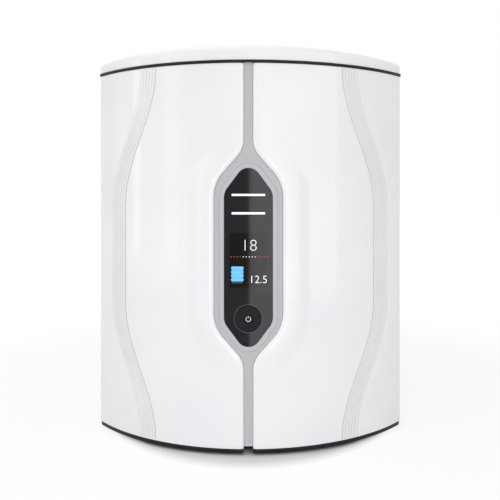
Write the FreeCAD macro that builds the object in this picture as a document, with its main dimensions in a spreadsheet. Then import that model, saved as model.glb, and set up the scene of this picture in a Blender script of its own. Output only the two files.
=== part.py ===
"""Ultrapure water system: a bench cabinet with two bowed doors, a central display and its water train.

Millimetres. X points to the right, Y to the back and Z up. The origin lies on the bench, under the
middle of the whole machine. The front of the cabinet is one round face, so the doors, the deck, the
plinth and the cover all take their front from the same centre and radius.
"""
import FreeCAD, Part
import math
import os

import Sketcher
from FreeCAD import Rotation, Vector

SIZES = {
    # Cabinet
    "cabinet_width": 368.0,
    "cabinet_depth": 320.0,
    "front_radius": 240.0,
    "front_corner_radius": 8.0,
    "rear_corner_radius": 14.0,
    "panel_wall": 3.0,
    "panel_return": 24.0,
    "foot_radius": 13.0,
    "foot_height": 2.6,
    "foot_inset": 40.0,
    "plinth_height": 4.3,
    "plinth_setback": 1.0,
    "plinth_notch_radius": 1.8,
    "deck_thickness": 2.8,
    "deck_overhang": 1.2,
    "cover_height": 17.0,
    "cover_crown": 4.0,
    "cover_edge_radius": 7.0,
    "cover_wall": 3.0,
    "rear_plate": 2.0,
    "seat_gap": 0.2,
    "cut_overrun": 2.0,
    # Doors
    "door_height": 422.3,
    "door_wall": 3.0,
    "door_gap": 0.3,
    "door_reveal": 0.5,
    "door_side_reach": 17.0,
    "door_seam": 2.2,
    "pivot_radius": 2.5,
    "pivot_clearance": 0.05,
    "pivot_length": 10.0,
    "pivot_flange_radius": 4.4,
    "pivot_flange_height": 1.5,
    "lug_height": 12.0,
    "magnet_radius": 5.0,
    "magnet_thickness": 3.0,
    "magnet_boss_radius": 7.0,
    "magnet_place": 20.0,
    "magnet_end_distance": 46.0,
    "magnet_gap": 0.3,
    "strike_radius": 6.5,
    "strike_thickness": 1.3,
    # Accent strips
    "strip_width": 19.2,
    "strip_relief": 0.4,
    "strip_side_distance": 30.0,
    "strip_swing": 39.5,
    "strip_upper_bend": 272.0,
    "strip_lower_bend": 160.0,
    "strip_end_margin": 2.0,
    # Centre column and its frame
    "column_width": 9.2,
    "column_front": 1.8,
    "column_depth": 12.0,
    "column_lift": 2.4,
    "frame_width": 74.8,
    "frame_top": 297.7,
    "frame_bottom": 140.8,
    "frame_slope": 1.14,
    "frame_side_radius": 42.0,
    "frame_neck_radius": 28.0,
    "flange_width": 84.0,
    "flange_thickness": 3.0,
    # Display
    "glass_width": 53.4,
    "glass_top": 287.7,
    "glass_bottom": 145.5,
    "glass_slope": 1.34,
    "glass_side_radius": 18.0,
    "glass_tip_radius": 13.5,
    "glass_thickness": 3.0,
    "glass_recess": 0.4,
    "bezel_width": 5.4,
    "bezel_depth": 9.0,
    "bezel_rise": 0.6,
    "screen_width": 41.6,
    "screen_height": 60.0,
    "screen_middle": 213.5,
    "board_thickness": 1.6,
    "housing_depth": 18.6,
    "housing_wall": 2.0,
    "light_bar_width": 37.0,
    "light_bar_height": 2.6,
    "light_bar_rise": 0.1,
    "upper_light_place": 284.9,
    "lower_light_place": 264.7,
    "dial_place": 149.5,
    "dial_radius": 14.0,
    "dial_gap": 0.3,
    "dial_rise": 1.4,
    "dial_thickness": 4.0,
    "dial_shaft_radius": 7.0,
    "button_radius": 4.5,
    "button_rise": 0.4,
    "button_travel": 1.0,
    "encoder_radius": 10.0,
    "encoder_depth": 9.0,
    "encoder_bore_depth": 3.0,
    # Inner wall and water train
    "bulkhead_place": 20.0,
    "bulkhead_thickness": 2.0,
    "centre_bay_width": 112.0,
    "dock_side_gap": 25.0,
    "dock_front_margin": 1.0,
    "dock_top": 60.0,
    "dock_wall": 4.0,
    "nozzle_spacing": 40.0,
    "nozzle_radius": 6.0,
    "nozzle_bore": 3.0,
    "nozzle_height": 14.0,
    "socket_clearance": 0.3,
    "pack_rear_gap": 12.0,
    "pack_dock_margin": 4.0,
    "pack_collar_relief": 2.5,
    "pack_height": 322.0,
    "pack_collar": 26.0,
    "pack_shoulder": 24.0,
    "pack_neck_radius": 15.0,
    "pack_neck_height": 16.0,
    "pack_knob_radius": 24.0,
    "pack_knob_height": 10.0,
    "lamp_chamber_x": -24.0,
    "lamp_chamber_y": -48.0,
    "lamp_chamber_radius": 28.0,
    "lamp_chamber_wall": 1.5,
    "lamp_chamber_height": 350.0,
    "lamp_cap_radius": 30.0,
    "lamp_cap_height": 26.0,
    "lamp_radius": 9.0,
    "filter_x": 33.0,
    "filter_y": -40.0,
    "filter_radius": 18.0,
    "filter_bottom": 70.0,
    "filter_height": 240.0,
    "filter_cap_radius": 20.5,
    "filter_cap_height": 18.0,
    "filter_nozzle_radius": 5.0,
    "filter_nozzle_height": 12.0,
    "clamp_height": 12.0,
    "clamp_margin": 5.0,
    "lower_clamp_place": 120.0,
    "upper_clamp_place": 270.0,
    # Pump
    "pump_manifold_distance": 50.0,
    "pump_y": 61.0,
    "pump_side": 70.0,
    "pump_height": 36.0,
    "pump_foot_radius": 7.0,
    "pump_foot_height": 8.0,
    "pump_foot_inset": 10.0,
    "impeller_radius": 24.0,
    "impeller_gap": 1.0,
    "impeller_plate": 3.0,
    "impeller_chamber": 20.0,
    "impeller_vanes": 6,
    "vane_thickness": 2.0,
    "shaft_radius": 4.0,
    "shaft_clearance": 0.05,
    "shaft_length": 16.0,
    "pump_cover_height": 6.0,
    "motor_radius": 29.0,
    "motor_height": 92.0,
    # Rear bay
    "supply_side_gap": 19.0,
    "supply_depth": 50.0,
    "supply_height": 170.0,
    "supply_pump_gap": 17.0,
    "supply_bottom": 80.0,
    "ballast_width": 90.0,
    "ballast_depth": 30.0,
    "ballast_height": 60.0,
    "ballast_gap": 25.0,
    "board_side_gap": 31.0,
    "board_right": -28.0,
    "board_bottom": 280.0,
    "board_height": 110.0,
    "board_sheet": 1.6,
    "board_inset": 6.0,
    "standoff_radius": 3.5,
    "standoff_height": 8.0,
    "chip_size": 26.0,
    "chip_height": 4.0,
    "manifold_side_gap": 25.0,
    "manifold_width": 96.0,
    "manifold_depth": 28.0,
    "manifold_bottom": 190.0,
    "manifold_height": 30.0,
    "coil_radius": 12.0,
    "coil_height": 38.0,
    "coil_spacing": 31.0,
    "leak_sensor_x": 60.0,
    "leak_sensor_y": 100.0,
    "leak_sensor_radius": 12.0,
    "leak_sensor_height": 8.0,
    # Rear fittings
    "port_reach": 20.0,
    "port_height": 60.0,
    "port_manifold_distance": 16.0,
    "port_spacing": 35.0,
    "product_port": 33.0,
    "port_radius": 9.0,
    "port_flange_radius": 12.5,
    "port_flange_thickness": 3.0,
    "port_bore": 4.1,
    "port_bore_depth": 18.0,
    "port_way": 2.5,
    "port_shank_radius": 8.0,
    "port_shank_length": 12.0,
    "port_nut_radius": 12.0,
    "port_nut_thickness": 6.0,
    "inlet_side_gap": 25.0,
    "inlet_width": 64.0,
    "inlet_bottom": 34.0,
    "inlet_height": 42.0,
    "inlet_flange": 3.0,
    "inlet_depth": 26.0,
    "inlet_border": 3.0,
    "socket_width": 28.0,
    "socket_height": 22.0,
    "socket_depth": 18.0,
    "contact_width": 2.0,
    "contact_height": 4.0,
    "contact_length": 12.0,
    "contact_spacing": 7.0,
    "rocker_width": 13.0,
    "rocker_height": 20.0,
    "rocker_depth": 9.0,
    "rocker_tilt": 7.0,
    "rocker_side_gap": 0.4,
    "rocker_end_gap": 2.2,
    "rocker_axle_radius": 1.5,
    "rocker_axle_clearance": 0.05,
    "rocker_axle_seat": 2.0,
    "drawer_height": 6.0,
    "drawer_length": 15.0,
    "drawer_gap": 0.25,
    "drawer_lip": 1.5,
    "screw_head_radius": 3.6,
    "screw_head_height": 2.0,
    "screw_radius": 2.0,
    "screw_side_distance": 19.0,
    "screw_end_distance": 24.0,
    "vent_width": 90.0,
    "vent_height": 4.0,
    "vent_pitch": 10.0,
    "vent_count": 9,
    "vent_bottom": 300.0,
    "vent_middle": 90.0,
    # Tubes
    "tube_radius": 3.0,
    "tube_bend": 18.0,
    "riser_place": 95.0,
    "product_riser_place": 110.0,
    "crossing_height": 384.0,
    "pump_tube_distance": 20.0,
    "wide_tube_bend": 30.0,
    "pack_tube_distance": 19.0,
    "pack_tube_y": 41.0,
}

doc = FreeCAD.newDocument("UltrapureWaterSystem")
sheet = doc.addObject("Spreadsheet::Sheet", "Sizes")
for row, (name, value) in enumerate(SIZES.items(), start=1):
    sheet.set(f"A{row}", name)
    sheet.set(f"B{row}", str(value))
    sheet.setAlias(f"B{row}", name)
doc.recompute()


START, END, CENTRE = 1, 2, 3
ORIGIN = -1


class Size:
    """A size as a formula on the sheet's cells, together with its present value."""

    def __init__(self, formula, value):
        self.formula = formula
        self.value = value

    def joined(self, sign, other, value):
        return Size(f"({self.formula} {sign} {as_size(other).formula})", value)

    def __float__(self):
        return float(self.value)

    def __add__(self, other):
        return self.joined("+", other, self.value + float(other))

    def __sub__(self, other):
        return self.joined("-", other, self.value - float(other))

    def __mul__(self, other):
        return self.joined("*", other, self.value * float(other))

    def __truediv__(self, other):
        return self.joined("/", other, self.value / float(other))

    def __neg__(self):
        return Size(f"(-{self.formula})", -self.value)

    def __radd__(self, other):
        return as_size(other) + self

    def __rsub__(self, other):
        return as_size(other) - self

    def __rmul__(self, other):
        return as_size(other) * self


def as_size(item):
    """A plain number as a size, or the size itself."""
    return item if isinstance(item, Size) else Size(f"({float(item)!r})", float(item))


def root_of(size):
    """The square root of a size."""
    return Size(f"sqrt({size.formula})", math.sqrt(size.value))


class Cells:
    """Every cell of the sheet as a size, under its own name."""

    def __init__(self):
        for name, value in SIZES.items():
            setattr(self, name, Size("Sizes." + name, value))


s = Cells()
nodes = []


def bind(item, path, size):
    """Tie one property of an item to the sheet."""
    item.setExpression(path, as_size(size).formula)


def node(item, name):
    """Name a finished sub-part, which is written to a file of that name."""
    item.Label = name
    nodes.append(item)
    return item


def move(item, x, y, z):
    """Put an item at a place that follows the sheet."""
    for axis, size in zip("xyz", (x, y, z)):
        bind(item, "Placement.Base." + axis, size)
    return item


def block(name, x, y, z):
    """A box between a low and a high place on each axis."""
    box = doc.addObject("Part::Box", name)
    for path, (low, high) in zip(("Length", "Width", "Height"), (x, y, z)):
        bind(box, path, as_size(high) - low)
    return move(box, x[0], y[0], z[0])


TURNS = {
    "x": Rotation(Vector(0, 1, 0), 90),
    "y": Rotation(Vector(1, 0, 0), -90),
    "z": Rotation(),
}


def rod(name, axis, radius, place, span):
    """A cylinder along an axis, at a place on the two other axes and over a span of its own."""
    cylinder = doc.addObject("Part::Cylinder", name)
    bind(cylinder, "Radius", radius)
    bind(cylinder, "Height", as_size(span[1]) - span[0])
    cylinder.Placement.Rotation = TURNS[axis]
    start = dict(zip([other for other in "xyz" if other != axis], place))
    start[axis] = span[0]
    return move(cylinder, start["x"], start["y"], start["z"])


def fused(name, *items):
    """Several items joined into one solid."""
    fusion = doc.addObject("Part::MultiFuse", name)
    fusion.Shapes = list(items)
    return fusion


def cut(name, base, *tools):
    """An item with others taken away from it."""
    result = doc.addObject("Part::Cut", name)
    result.Base = base
    result.Tool = tools[0] if len(tools) == 1 else grouped(name + "_tools", *tools)
    return result


def grouped(name, *items):
    """Several solids kept apart in one item."""
    compound = doc.addObject("Part::Compound", name)
    compound.Links = list(items)
    return compound


def new_body(name):
    return doc.addObject("PartDesign::Body", name)


def new_sketch(body, role, height):
    """A sketch on one of the body's origin planes, raised along the plane's normal."""
    sketch = body.newObject("Sketcher::SketchObject", body.Name + "_sketch")
    plane = next(item for item in body.Origin.OriginFeatures if item.Role == role)
    sketch.AttachmentSupport = [(plane, "")]
    sketch.MapMode = "FlatFace"
    bind(sketch, "AttachmentOffset.Base.z", height)
    return sketch


def level_sketch(body, z):
    """A sketch that looks down at a level, with X to the right and Y up."""
    return new_sketch(body, "XY_Plane", z)


def front_sketch(body, y):
    """A sketch seen from the front at a depth, with X to the right and Z up."""
    return new_sketch(body, "XZ_Plane", -as_size(y))


def hold(sketch, index, corner, x, y):
    """Hold one end of a sketch edge at a place that follows the sheet."""
    for kind, size in (("DistanceX", x), ("DistanceY", y)):
        size = as_size(size)
        number = sketch.addConstraint(
            Sketcher.Constraint(kind, ORIGIN, START, index, corner, float(size))
        )
        sketch.setExpression(f"Constraints[{number}]", size.formula)


def arc_between(start, end, radius, side):
    """The short arc from start to end that bulges to the left (side 1) or the right (side -1)."""
    chord = end - start
    middle = (start + end) * 0.5
    sagitta = radius - math.sqrt(radius**2 - (chord.Length / 2) ** 2)
    outward = Vector(-chord.y, chord.x, 0).normalize() * side * sagitta
    return Part.Arc(start, middle + outward, end)


def draw_loop(sketch, points, arcs=None):
    """Draw a closed loop through points. arcs maps an edge's number to its radius and side."""
    arcs = arcs or {}
    places = [Vector(float(x), float(y), 0) for x, y in points]
    count = len(points)
    ends = []
    first = len(sketch.Geometry)
    for number in range(count):
        start, end = places[number], places[(number + 1) % count]
        if number in arcs:
            radius, side = arcs[number]
            index = sketch.addGeometry(arc_between(start, end, float(radius), side))
            from_start = sketch.getPoint(index, START).distanceToPoint(start)
            from_end = sketch.getPoint(index, END).distanceToPoint(start)
            ends.append((START, END) if from_start < from_end else (END, START))
            constraint = sketch.addConstraint(
                Sketcher.Constraint("Radius", index, float(radius))
            )
            sketch.setExpression(f"Constraints[{constraint}]", as_size(radius).formula)
        else:
            index = sketch.addGeometry(Part.LineSegment(start, end))
            ends.append((START, END))
        hold(sketch, index, ends[-1][0], *points[number])
    for number in range(count):
        following = (number + 1) % count
        sketch.addConstraint(
            Sketcher.Constraint(
                "Coincident",
                first + number,
                ends[number][1],
                first + following,
                ends[following][0],
            )
        )


def draw_circle(sketch, radius, x, y):
    """Draw a circle whose radius and centre follow the sheet."""
    centre = Vector(float(x), float(y), 0)
    index = sketch.addGeometry(Part.Circle(centre, Vector(0, 0, 1), float(radius)))
    constraint = sketch.addConstraint(Sketcher.Constraint("Radius", index, float(radius)))
    sketch.setExpression(f"Constraints[{constraint}]", as_size(radius).formula)
    hold(sketch, index, CENTRE, x, y)


def sweep_feature(kind, body, sketch, length, reverse):
    feature = body.newObject("PartDesign::" + kind, f"{body.Name}_{kind.lower()}")
    feature.Profile = sketch
    bind(feature, "Length", length)
    feature.Reversed = reverse
    return feature


def pad(body, sketch, length, reverse=False):
    return sweep_feature("Pad", body, sketch, length, reverse)


def pocket(body, sketch, length, reverse=False):
    return sweep_feature("Pocket", body, sketch, length, reverse)


def round_edges(body, radius, chosen):
    """Round the edges of the body so far that a test picks."""
    doc.recompute()
    base = body.Tip
    names = [
        f"Edge{number}"
        for number, edge in enumerate(base.Shape.Edges, start=1)
        if chosen(edge)
    ]
    fillet = body.newObject("PartDesign::Fillet", body.Name + "_fillet")
    fillet.Base = (base, names)
    bind(fillet, "Radius", radius)
    return fillet


def runs_along(edge, axis):
    """Whether a straight edge points along an axis."""
    ends = [vertex.Point for vertex in edge.Vertexes]
    return len(ends) == 2 and (ends[1] - ends[0]).cross(axis).Length < NEAR


def passes(edge, **place):
    """Whether an edge's middle has the given coordinates."""
    box = edge.BoundBox
    return all(abs(getattr(box.Center, axis) - float(value)) < NEAR for axis, value in place.items())


NEAR = float(s.seat_gap) / 4
UP = Vector(0, 0, 1)
BACKWARDS = Vector(0, 1, 0)

# Levels and planes that the pieces share
half_width = s.cabinet_width / 2
front_y = -(s.cabinet_depth + s.port_reach) / 2
rear_y = front_y + s.cabinet_depth
door_front_y = front_y + s.deck_overhang
centre_y = door_front_y + s.front_radius
plinth_top = s.foot_height + s.plinth_height
door_bottom = plinth_top + s.door_gap
door_top = door_bottom + s.door_height
deck_bottom = door_top + s.door_gap
deck_top = deck_bottom + s.deck_thickness
inner_half_width = half_width - s.panel_wall
pivot_x = half_width - s.front_corner_radius
pivot_offset = s.front_radius - s.front_corner_radius
pivot_y = centre_y - root_of(pivot_offset * pivot_offset - pivot_x * pivot_x)
column_half = s.column_width / 2
frame_half = s.frame_width / 2
column_front_y = door_front_y + s.column_front
flange_front_y = column_front_y + s.column_depth
flange_rear_y = flange_front_y + s.flange_thickness
bezel_front_y = column_front_y - s.bezel_rise
bezel_rear_y = bezel_front_y + s.bezel_depth
glass_front_y = bezel_front_y + s.glass_recess
glass_rear_y = glass_front_y + s.glass_thickness
board_rear_y = bezel_rear_y
board_front_y = board_rear_y - s.board_thickness
bulkhead_rear_y = s.bulkhead_place + s.bulkhead_thickness
panel_rear_y = rear_y - s.panel_wall
panel_front_y = panel_rear_y - s.rear_plate
dock_inner = s.centre_bay_width / 2
dock_width = inner_half_width - s.dock_side_gap - dock_inner
dock_place = dock_inner + dock_width / 2
pack_radius = dock_width / 2 - s.pack_dock_margin
pack_place = s.bulkhead_place - s.pack_rear_gap - pack_radius
dock_front = pack_place - pack_radius - s.dock_front_margin
manifold_left = s.manifold_side_gap - inner_half_width
manifold_right = manifold_left + s.manifold_width
first_port = manifold_left + s.port_manifold_distance
pump_x = manifold_right + s.pump_manifold_distance
pump_half = s.pump_side / 2
supply_left = pump_x + pump_half + s.supply_pump_gap
supply_width = inner_half_width - s.supply_side_gap - supply_left
inlet_right = inner_half_width - s.inlet_side_gap
inlet_left = inlet_right - s.inlet_width


def front_face(x, radius):
    """How far forward the round front of a given radius stands at a place across the cabinet."""
    return centre_y - root_of(radius * radius - as_size(x) * x)


def draw_plan(sketch, grow):
    """The cabinet's plan, grown outwards all round."""
    half = half_width + grow
    radius = s.front_radius + grow
    front = front_face(half, radius)
    rear = rear_y + grow
    draw_loop(
        sketch,
        [(-half, front), (half, front), (half, rear), (-half, rear)],
        {0: (radius, -1)},
    )


def round_plan_corners(body, grow):
    """Round the upright corners of a slab that has the cabinet's plan."""
    half = half_width + grow
    front = front_face(half, s.front_radius + grow)
    for y, radius in ((front, s.front_corner_radius), (rear_y + grow, s.rear_corner_radius)):
        round_edges(
            body,
            radius + grow,
            lambda edge: runs_along(edge, UP)
            and abs(abs(edge.CenterOfMass.x) - float(half)) < NEAR
            and abs(edge.CenterOfMass.y - float(y)) < NEAR,
        )


def plan_slab(name, bottom, height, grow):
    """A slab with the cabinet's plan."""
    body = new_body(name)
    sketch = level_sketch(body, bottom)
    draw_plan(sketch, grow)
    pad(body, sketch, height)
    round_plan_corners(body, grow)
    return body


def base_plinth():
    """The dark plate that the cabinet stands on, notched under the centre column."""
    body = plan_slab("base_plinth", s.foot_height, s.plinth_height, -s.plinth_setback)
    sketch = level_sketch(body, plinth_top)
    notch_half = column_half + s.door_reveal
    front = door_front_y - s.cut_overrun
    draw_loop(
        sketch,
        [
            (-notch_half, front),
            (notch_half, front),
            (notch_half, flange_front_y),
            (-notch_half, flange_front_y),
        ],
    )
    pocket(body, sketch, s.plinth_height)
    round_edges(
        body,
        s.plinth_notch_radius,
        lambda edge: runs_along(edge, BACKWARDS)
        and passes(edge, z=s.foot_height)
        and abs(abs(edge.CenterOfMass.x) - float(notch_half)) < NEAR,
    )
    return node(body, "base_plinth")


def rubber_feet():
    """Four round feet under the plinth."""
    x = half_width - s.foot_inset
    feet = [
        rod(f"foot_{number}", "z", s.foot_radius, (side * x, y), (0, s.foot_height))
        for number, (side, y) in enumerate(
            (side, y)
            for side in (-1, 1)
            for y in (front_face(x, s.front_radius) + s.foot_inset, rear_y - s.foot_inset)
        )
    ]
    return node(grouped("rubber_feet_group", *feet), "rubber_feet")


def top_deck():
    """The dark deck that closes the cabinet and shows as a line above the doors."""
    return node(plan_slab("top_deck", deck_bottom, s.deck_thickness, s.deck_overhang), "top_deck")


def cover_slab(name, height, grow):
    """A slab with the cabinet's plan, a gently crowned top and a rounded upper edge."""
    body = plan_slab(name, deck_top, height, grow)
    top = deck_top + height
    crown_radius = (half_width * half_width + s.cover_crown * s.cover_crown) / s.cover_crown / 2
    reach = half_width + s.cut_overrun
    level = top - crown_radius + root_of(crown_radius * crown_radius - reach * reach)
    above = top + s.cut_overrun
    crown = front_sketch(body, front_y - s.cut_overrun)
    draw_loop(
        crown,
        [(-reach, level), (reach, level), (reach, above), (-reach, above)],
        {0: (crown_radius, 1)},
    )
    pocket(body, crown, s.cabinet_depth + s.cut_overrun * 2)
    middle = float(deck_top) + float(height) / 2
    round_edges(
        body,
        s.cover_edge_radius + grow,
        lambda edge: not runs_along(edge, UP) and edge.CenterOfMass.z > middle,
    )
    return body


def top_cover():
    """The white cover, a shell that is open below."""
    outside = cover_slab("cover_outside", s.cover_height, as_size(0))
    inside = cover_slab("cover_inside", s.cover_height - s.cover_wall, -s.cover_wall)
    return node(cut("top_cover", outside, inside), "top_cover")


def screw_places():
    """Where the rear screws go, as pairs of a place across and a level."""
    x = half_width - s.screw_side_distance
    low = plinth_top + s.screw_end_distance
    high = deck_bottom - s.screw_end_distance
    return [
        (side * x, low + (high - low) * share)
        for side in (-1, 1)
        for share in (as_size(0), as_size(1) / 3, as_size(2) / 3, as_size(1))
    ]


def screw_holes(name, sides):
    """Holes for the rear screws on one side of the cabinet or both."""
    return [
        rod(
            f"{name}_hole_{number}",
            "y",
            s.screw_radius,
            place,
            (panel_front_y - s.cut_overrun, rear_y + s.cut_overrun),
        )
        for number, place in enumerate(screw_places())
        if (1 if float(place[0]) > 0 else -1) in sides
    ]


def side_panel(side, name):
    """One side of the casing, turned inwards at the back around a round corner."""
    body = new_body(name + "_sheet")
    front = front_face(half_width, s.front_radius) + s.door_side_reach + s.door_seam
    inner = inner_half_width
    lip = half_width - s.panel_return
    sketch = level_sketch(body, plinth_top)
    draw_loop(
        sketch,
        [
            (side * half_width, front),
            (side * half_width, rear_y),
            (side * lip, rear_y),
            (side * lip, panel_rear_y),
            (side * inner, panel_rear_y),
            (side * inner, front),
        ],
    )
    pad(body, sketch, deck_bottom - plinth_top)
    for x, y, radius in (
        (half_width, rear_y, s.rear_corner_radius),
        (inner, panel_rear_y, s.rear_corner_radius - s.panel_wall),
    ):
        round_edges(
            body,
            radius,
            lambda edge: runs_along(edge, UP) and passes(edge, x=side * x, y=y),
        )
    return node(cut(name, body, *screw_holes(name, (side,))), name)


def rear_panel():
    """The rear plate, with holes for the fittings and slots for air."""
    half = half_width - s.rear_corner_radius - s.seat_gap
    plate = block(
        "rear_plate", (-half, half), (panel_front_y, panel_rear_y), (plinth_top, deck_bottom)
    )
    through = (panel_front_y - s.cut_overrun, panel_rear_y + s.cut_overrun)
    holes = screw_holes("rear_panel", (-1, 1))
    holes += [
        rod(
            f"port_hole_{number}",
            "y",
            s.port_shank_radius + s.seat_gap,
            (x, s.port_height),
            through,
        )
        for number, x in enumerate(port_places())
    ]
    border = s.inlet_border
    holes.append(
        block(
            "inlet_opening",
            (
                inlet_left + border - s.seat_gap,
                inlet_left + s.inlet_width - border + s.seat_gap,
            ),
            through,
            (
                s.inlet_bottom + border - s.seat_gap,
                s.inlet_bottom + s.inlet_height - border + s.seat_gap,
            ),
        )
    )
    for number in range(int(s.vent_count.value)):
        low = s.vent_bottom + s.vent_pitch * number
        for side in (-1, 1):
            middle = side * s.vent_middle
            holes.append(
                block(
                    f"vent_{number}_{side + 1}",
                    (middle - s.vent_width / 2, middle + s.vent_width / 2),
                    through,
                    (low, low + s.vent_height),
                )
            )
    return node(cut("rear_panel", plate, *holes), "rear_panel")


def rear_panel_screws():
    """Eight screws that hold the rear plate behind the side panels' returns."""
    screws = []
    for number, place in enumerate(screw_places()):
        head = rod(
            f"screw_head_{number}",
            "y",
            s.screw_head_radius,
            place,
            (rear_y, rear_y + s.screw_head_height),
        )
        shank = rod(
            f"screw_shank_{number}", "y", s.screw_radius, place, (panel_front_y, rear_y)
        )
        screws.append(fused(f"rear_screw_{number}", head, shank))
    return node(grouped("rear_screw_group", *screws), "rear_panel_screws")


def pivot_pins():
    """Four flanged pins, two under the deck and two on the plinth, that the doors turn on."""
    pins = []
    for side in (-1, 1):
        for name, start, way in (("lower", plinth_top, 1), ("upper", deck_bottom, -1)):
            place = (side * pivot_x, pivot_y)
            flange_end = start + way * s.pivot_flange_height
            pin_end = flange_end + way * s.pivot_length
            flange_span = (start, flange_end) if way > 0 else (flange_end, start)
            pin_span = (flange_end, pin_end) if way > 0 else (pin_end, flange_end)
            label = f"{name}_pin_{side + 1}"
            pins.append(
                fused(
                    label,
                    rod(label + "_flange", "z", s.pivot_flange_radius, place, flange_span),
                    rod(label + "_shank", "z", s.pivot_radius, place, pin_span),
                )
            )
    return node(grouped("pivot_pin_group", *pins), "door_pivot_pins")


def magnet_levels():
    """The levels of the two magnets on each door."""
    return (door_bottom + s.magnet_end_distance, door_top - s.magnet_end_distance)


magnet_rear_y = flange_front_y - s.strike_thickness - s.magnet_gap
magnet_front_y = magnet_rear_y - s.magnet_thickness


def frame_outline(grow):
    """The display frame's half width, its two shoulder levels and the two levels of its necks."""
    half = frame_half + grow
    rise = grow * root_of(s.frame_slope * s.frame_slope + 1) - s.frame_slope * grow
    top = s.frame_top + rise
    bottom = s.frame_bottom - rise
    fall = s.frame_slope * (frame_half - column_half)
    return half, (top, bottom), (top + fall, bottom - fall)


def door(side, name):
    """One bowed door: its round front, a short flat side, pivot lugs and magnet bosses."""
    body = new_body(name)
    wall = s.door_wall
    inner_edge = column_half + s.door_reveal
    side_end = front_face(half_width, s.front_radius) + s.door_side_reach
    inner_half = half_width - wall
    inner_radius = s.front_radius - wall
    sketch = level_sketch(body, door_bottom)
    draw_loop(
        sketch,
        [
            (side * inner_edge, front_face(inner_edge, s.front_radius)),
            (side * half_width, front_face(half_width, s.front_radius)),
            (side * half_width, side_end),
            (side * inner_half, side_end),
            (side * inner_half, front_face(inner_half, inner_radius)),
            (side * inner_edge, front_face(inner_edge, inner_radius)),
        ],
        {0: (s.front_radius, -side), 4: (inner_radius, side)},
    )
    pad(body, sketch, s.door_height)
    for x, radius, corner in (
        (half_width, s.front_radius, s.front_corner_radius),
        (inner_half, inner_radius, s.front_corner_radius - wall),
    ):
        y = front_face(x, radius)
        round_edges(
            body,
            corner,
            lambda edge: runs_along(edge, UP) and passes(edge, x=side * x, y=y),
        )
    half, shoulders, necks = frame_outline(s.door_reveal)
    cutout = front_sketch(body, door_front_y - s.cut_overrun)
    tip = s.frame_slope * half
    draw_loop(
        cutout,
        [
            (as_size(0), shoulders[0] + tip),
            (side * half, shoulders[0]),
            (side * half, shoulders[1]),
            (as_size(0), shoulders[1] - tip),
        ],
    )
    pocket(body, cutout, front_face(frame_half, inner_radius) - door_front_y + s.cut_overrun * 3)
    for x, levels, radius in (
        (half, shoulders, s.frame_side_radius),
        (inner_edge, necks, s.frame_neck_radius),
    ):
        round_edges(
            body,
            radius,
            lambda edge: runs_along(edge, BACKWARDS)
            and any(passes(edge, x=side * x, z=level) for level in levels),
        )
    lug_gap = s.pivot_flange_height + s.door_gap
    for start, upside_down in ((door_bottom + lug_gap, False), (door_top - lug_gap, True)):
        lug = level_sketch(body, start)
        draw_circle(lug, s.front_corner_radius - wall / 2, side * pivot_x, pivot_y)
        draw_circle(lug, s.pivot_radius + s.pivot_clearance, side * pivot_x, pivot_y)
        pad(body, lug, s.lug_height, reverse=upside_down)
    for level in magnet_levels():
        boss = front_sketch(body, magnet_front_y)
        draw_circle(boss, s.magnet_boss_radius, side * s.magnet_place, level)
        pad(body, boss, magnet_front_y - door_front_y - wall)
    return node(body, name)


def discs(name, radius, places, span):
    """A group of discs that face the front."""
    return node(
        grouped(
            name + "_group",
            *[
                rod(f"{name}_{number}", "y", radius, place, span)
                for number, place in enumerate(places)
            ],
        ),
        name,
    )


def door_magnets(side, name):
    places = [(side * s.magnet_place, level) for level in magnet_levels()]
    return discs(name, s.magnet_radius, places, (magnet_front_y, magnet_rear_y))


def strike_plates():
    """Four steel discs on the column's flange that the doors' magnets pull at."""
    places = [(side * s.magnet_place, level) for side in (-1, 1) for level in magnet_levels()]
    span = (flange_front_y - s.strike_thickness, flange_front_y)
    return discs("door_strike_plates", s.strike_radius, places, span)


EASE_SHARES = (0.0, 0.2, 0.4, 0.5, 0.6, 0.8, 1.0)


def strip_middle(level_share):
    """How far the strip's bend has come, from 0 at its straight middle to 1 at its end."""
    return (1 - math.cos(math.pi * level_share)) / 2


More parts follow.
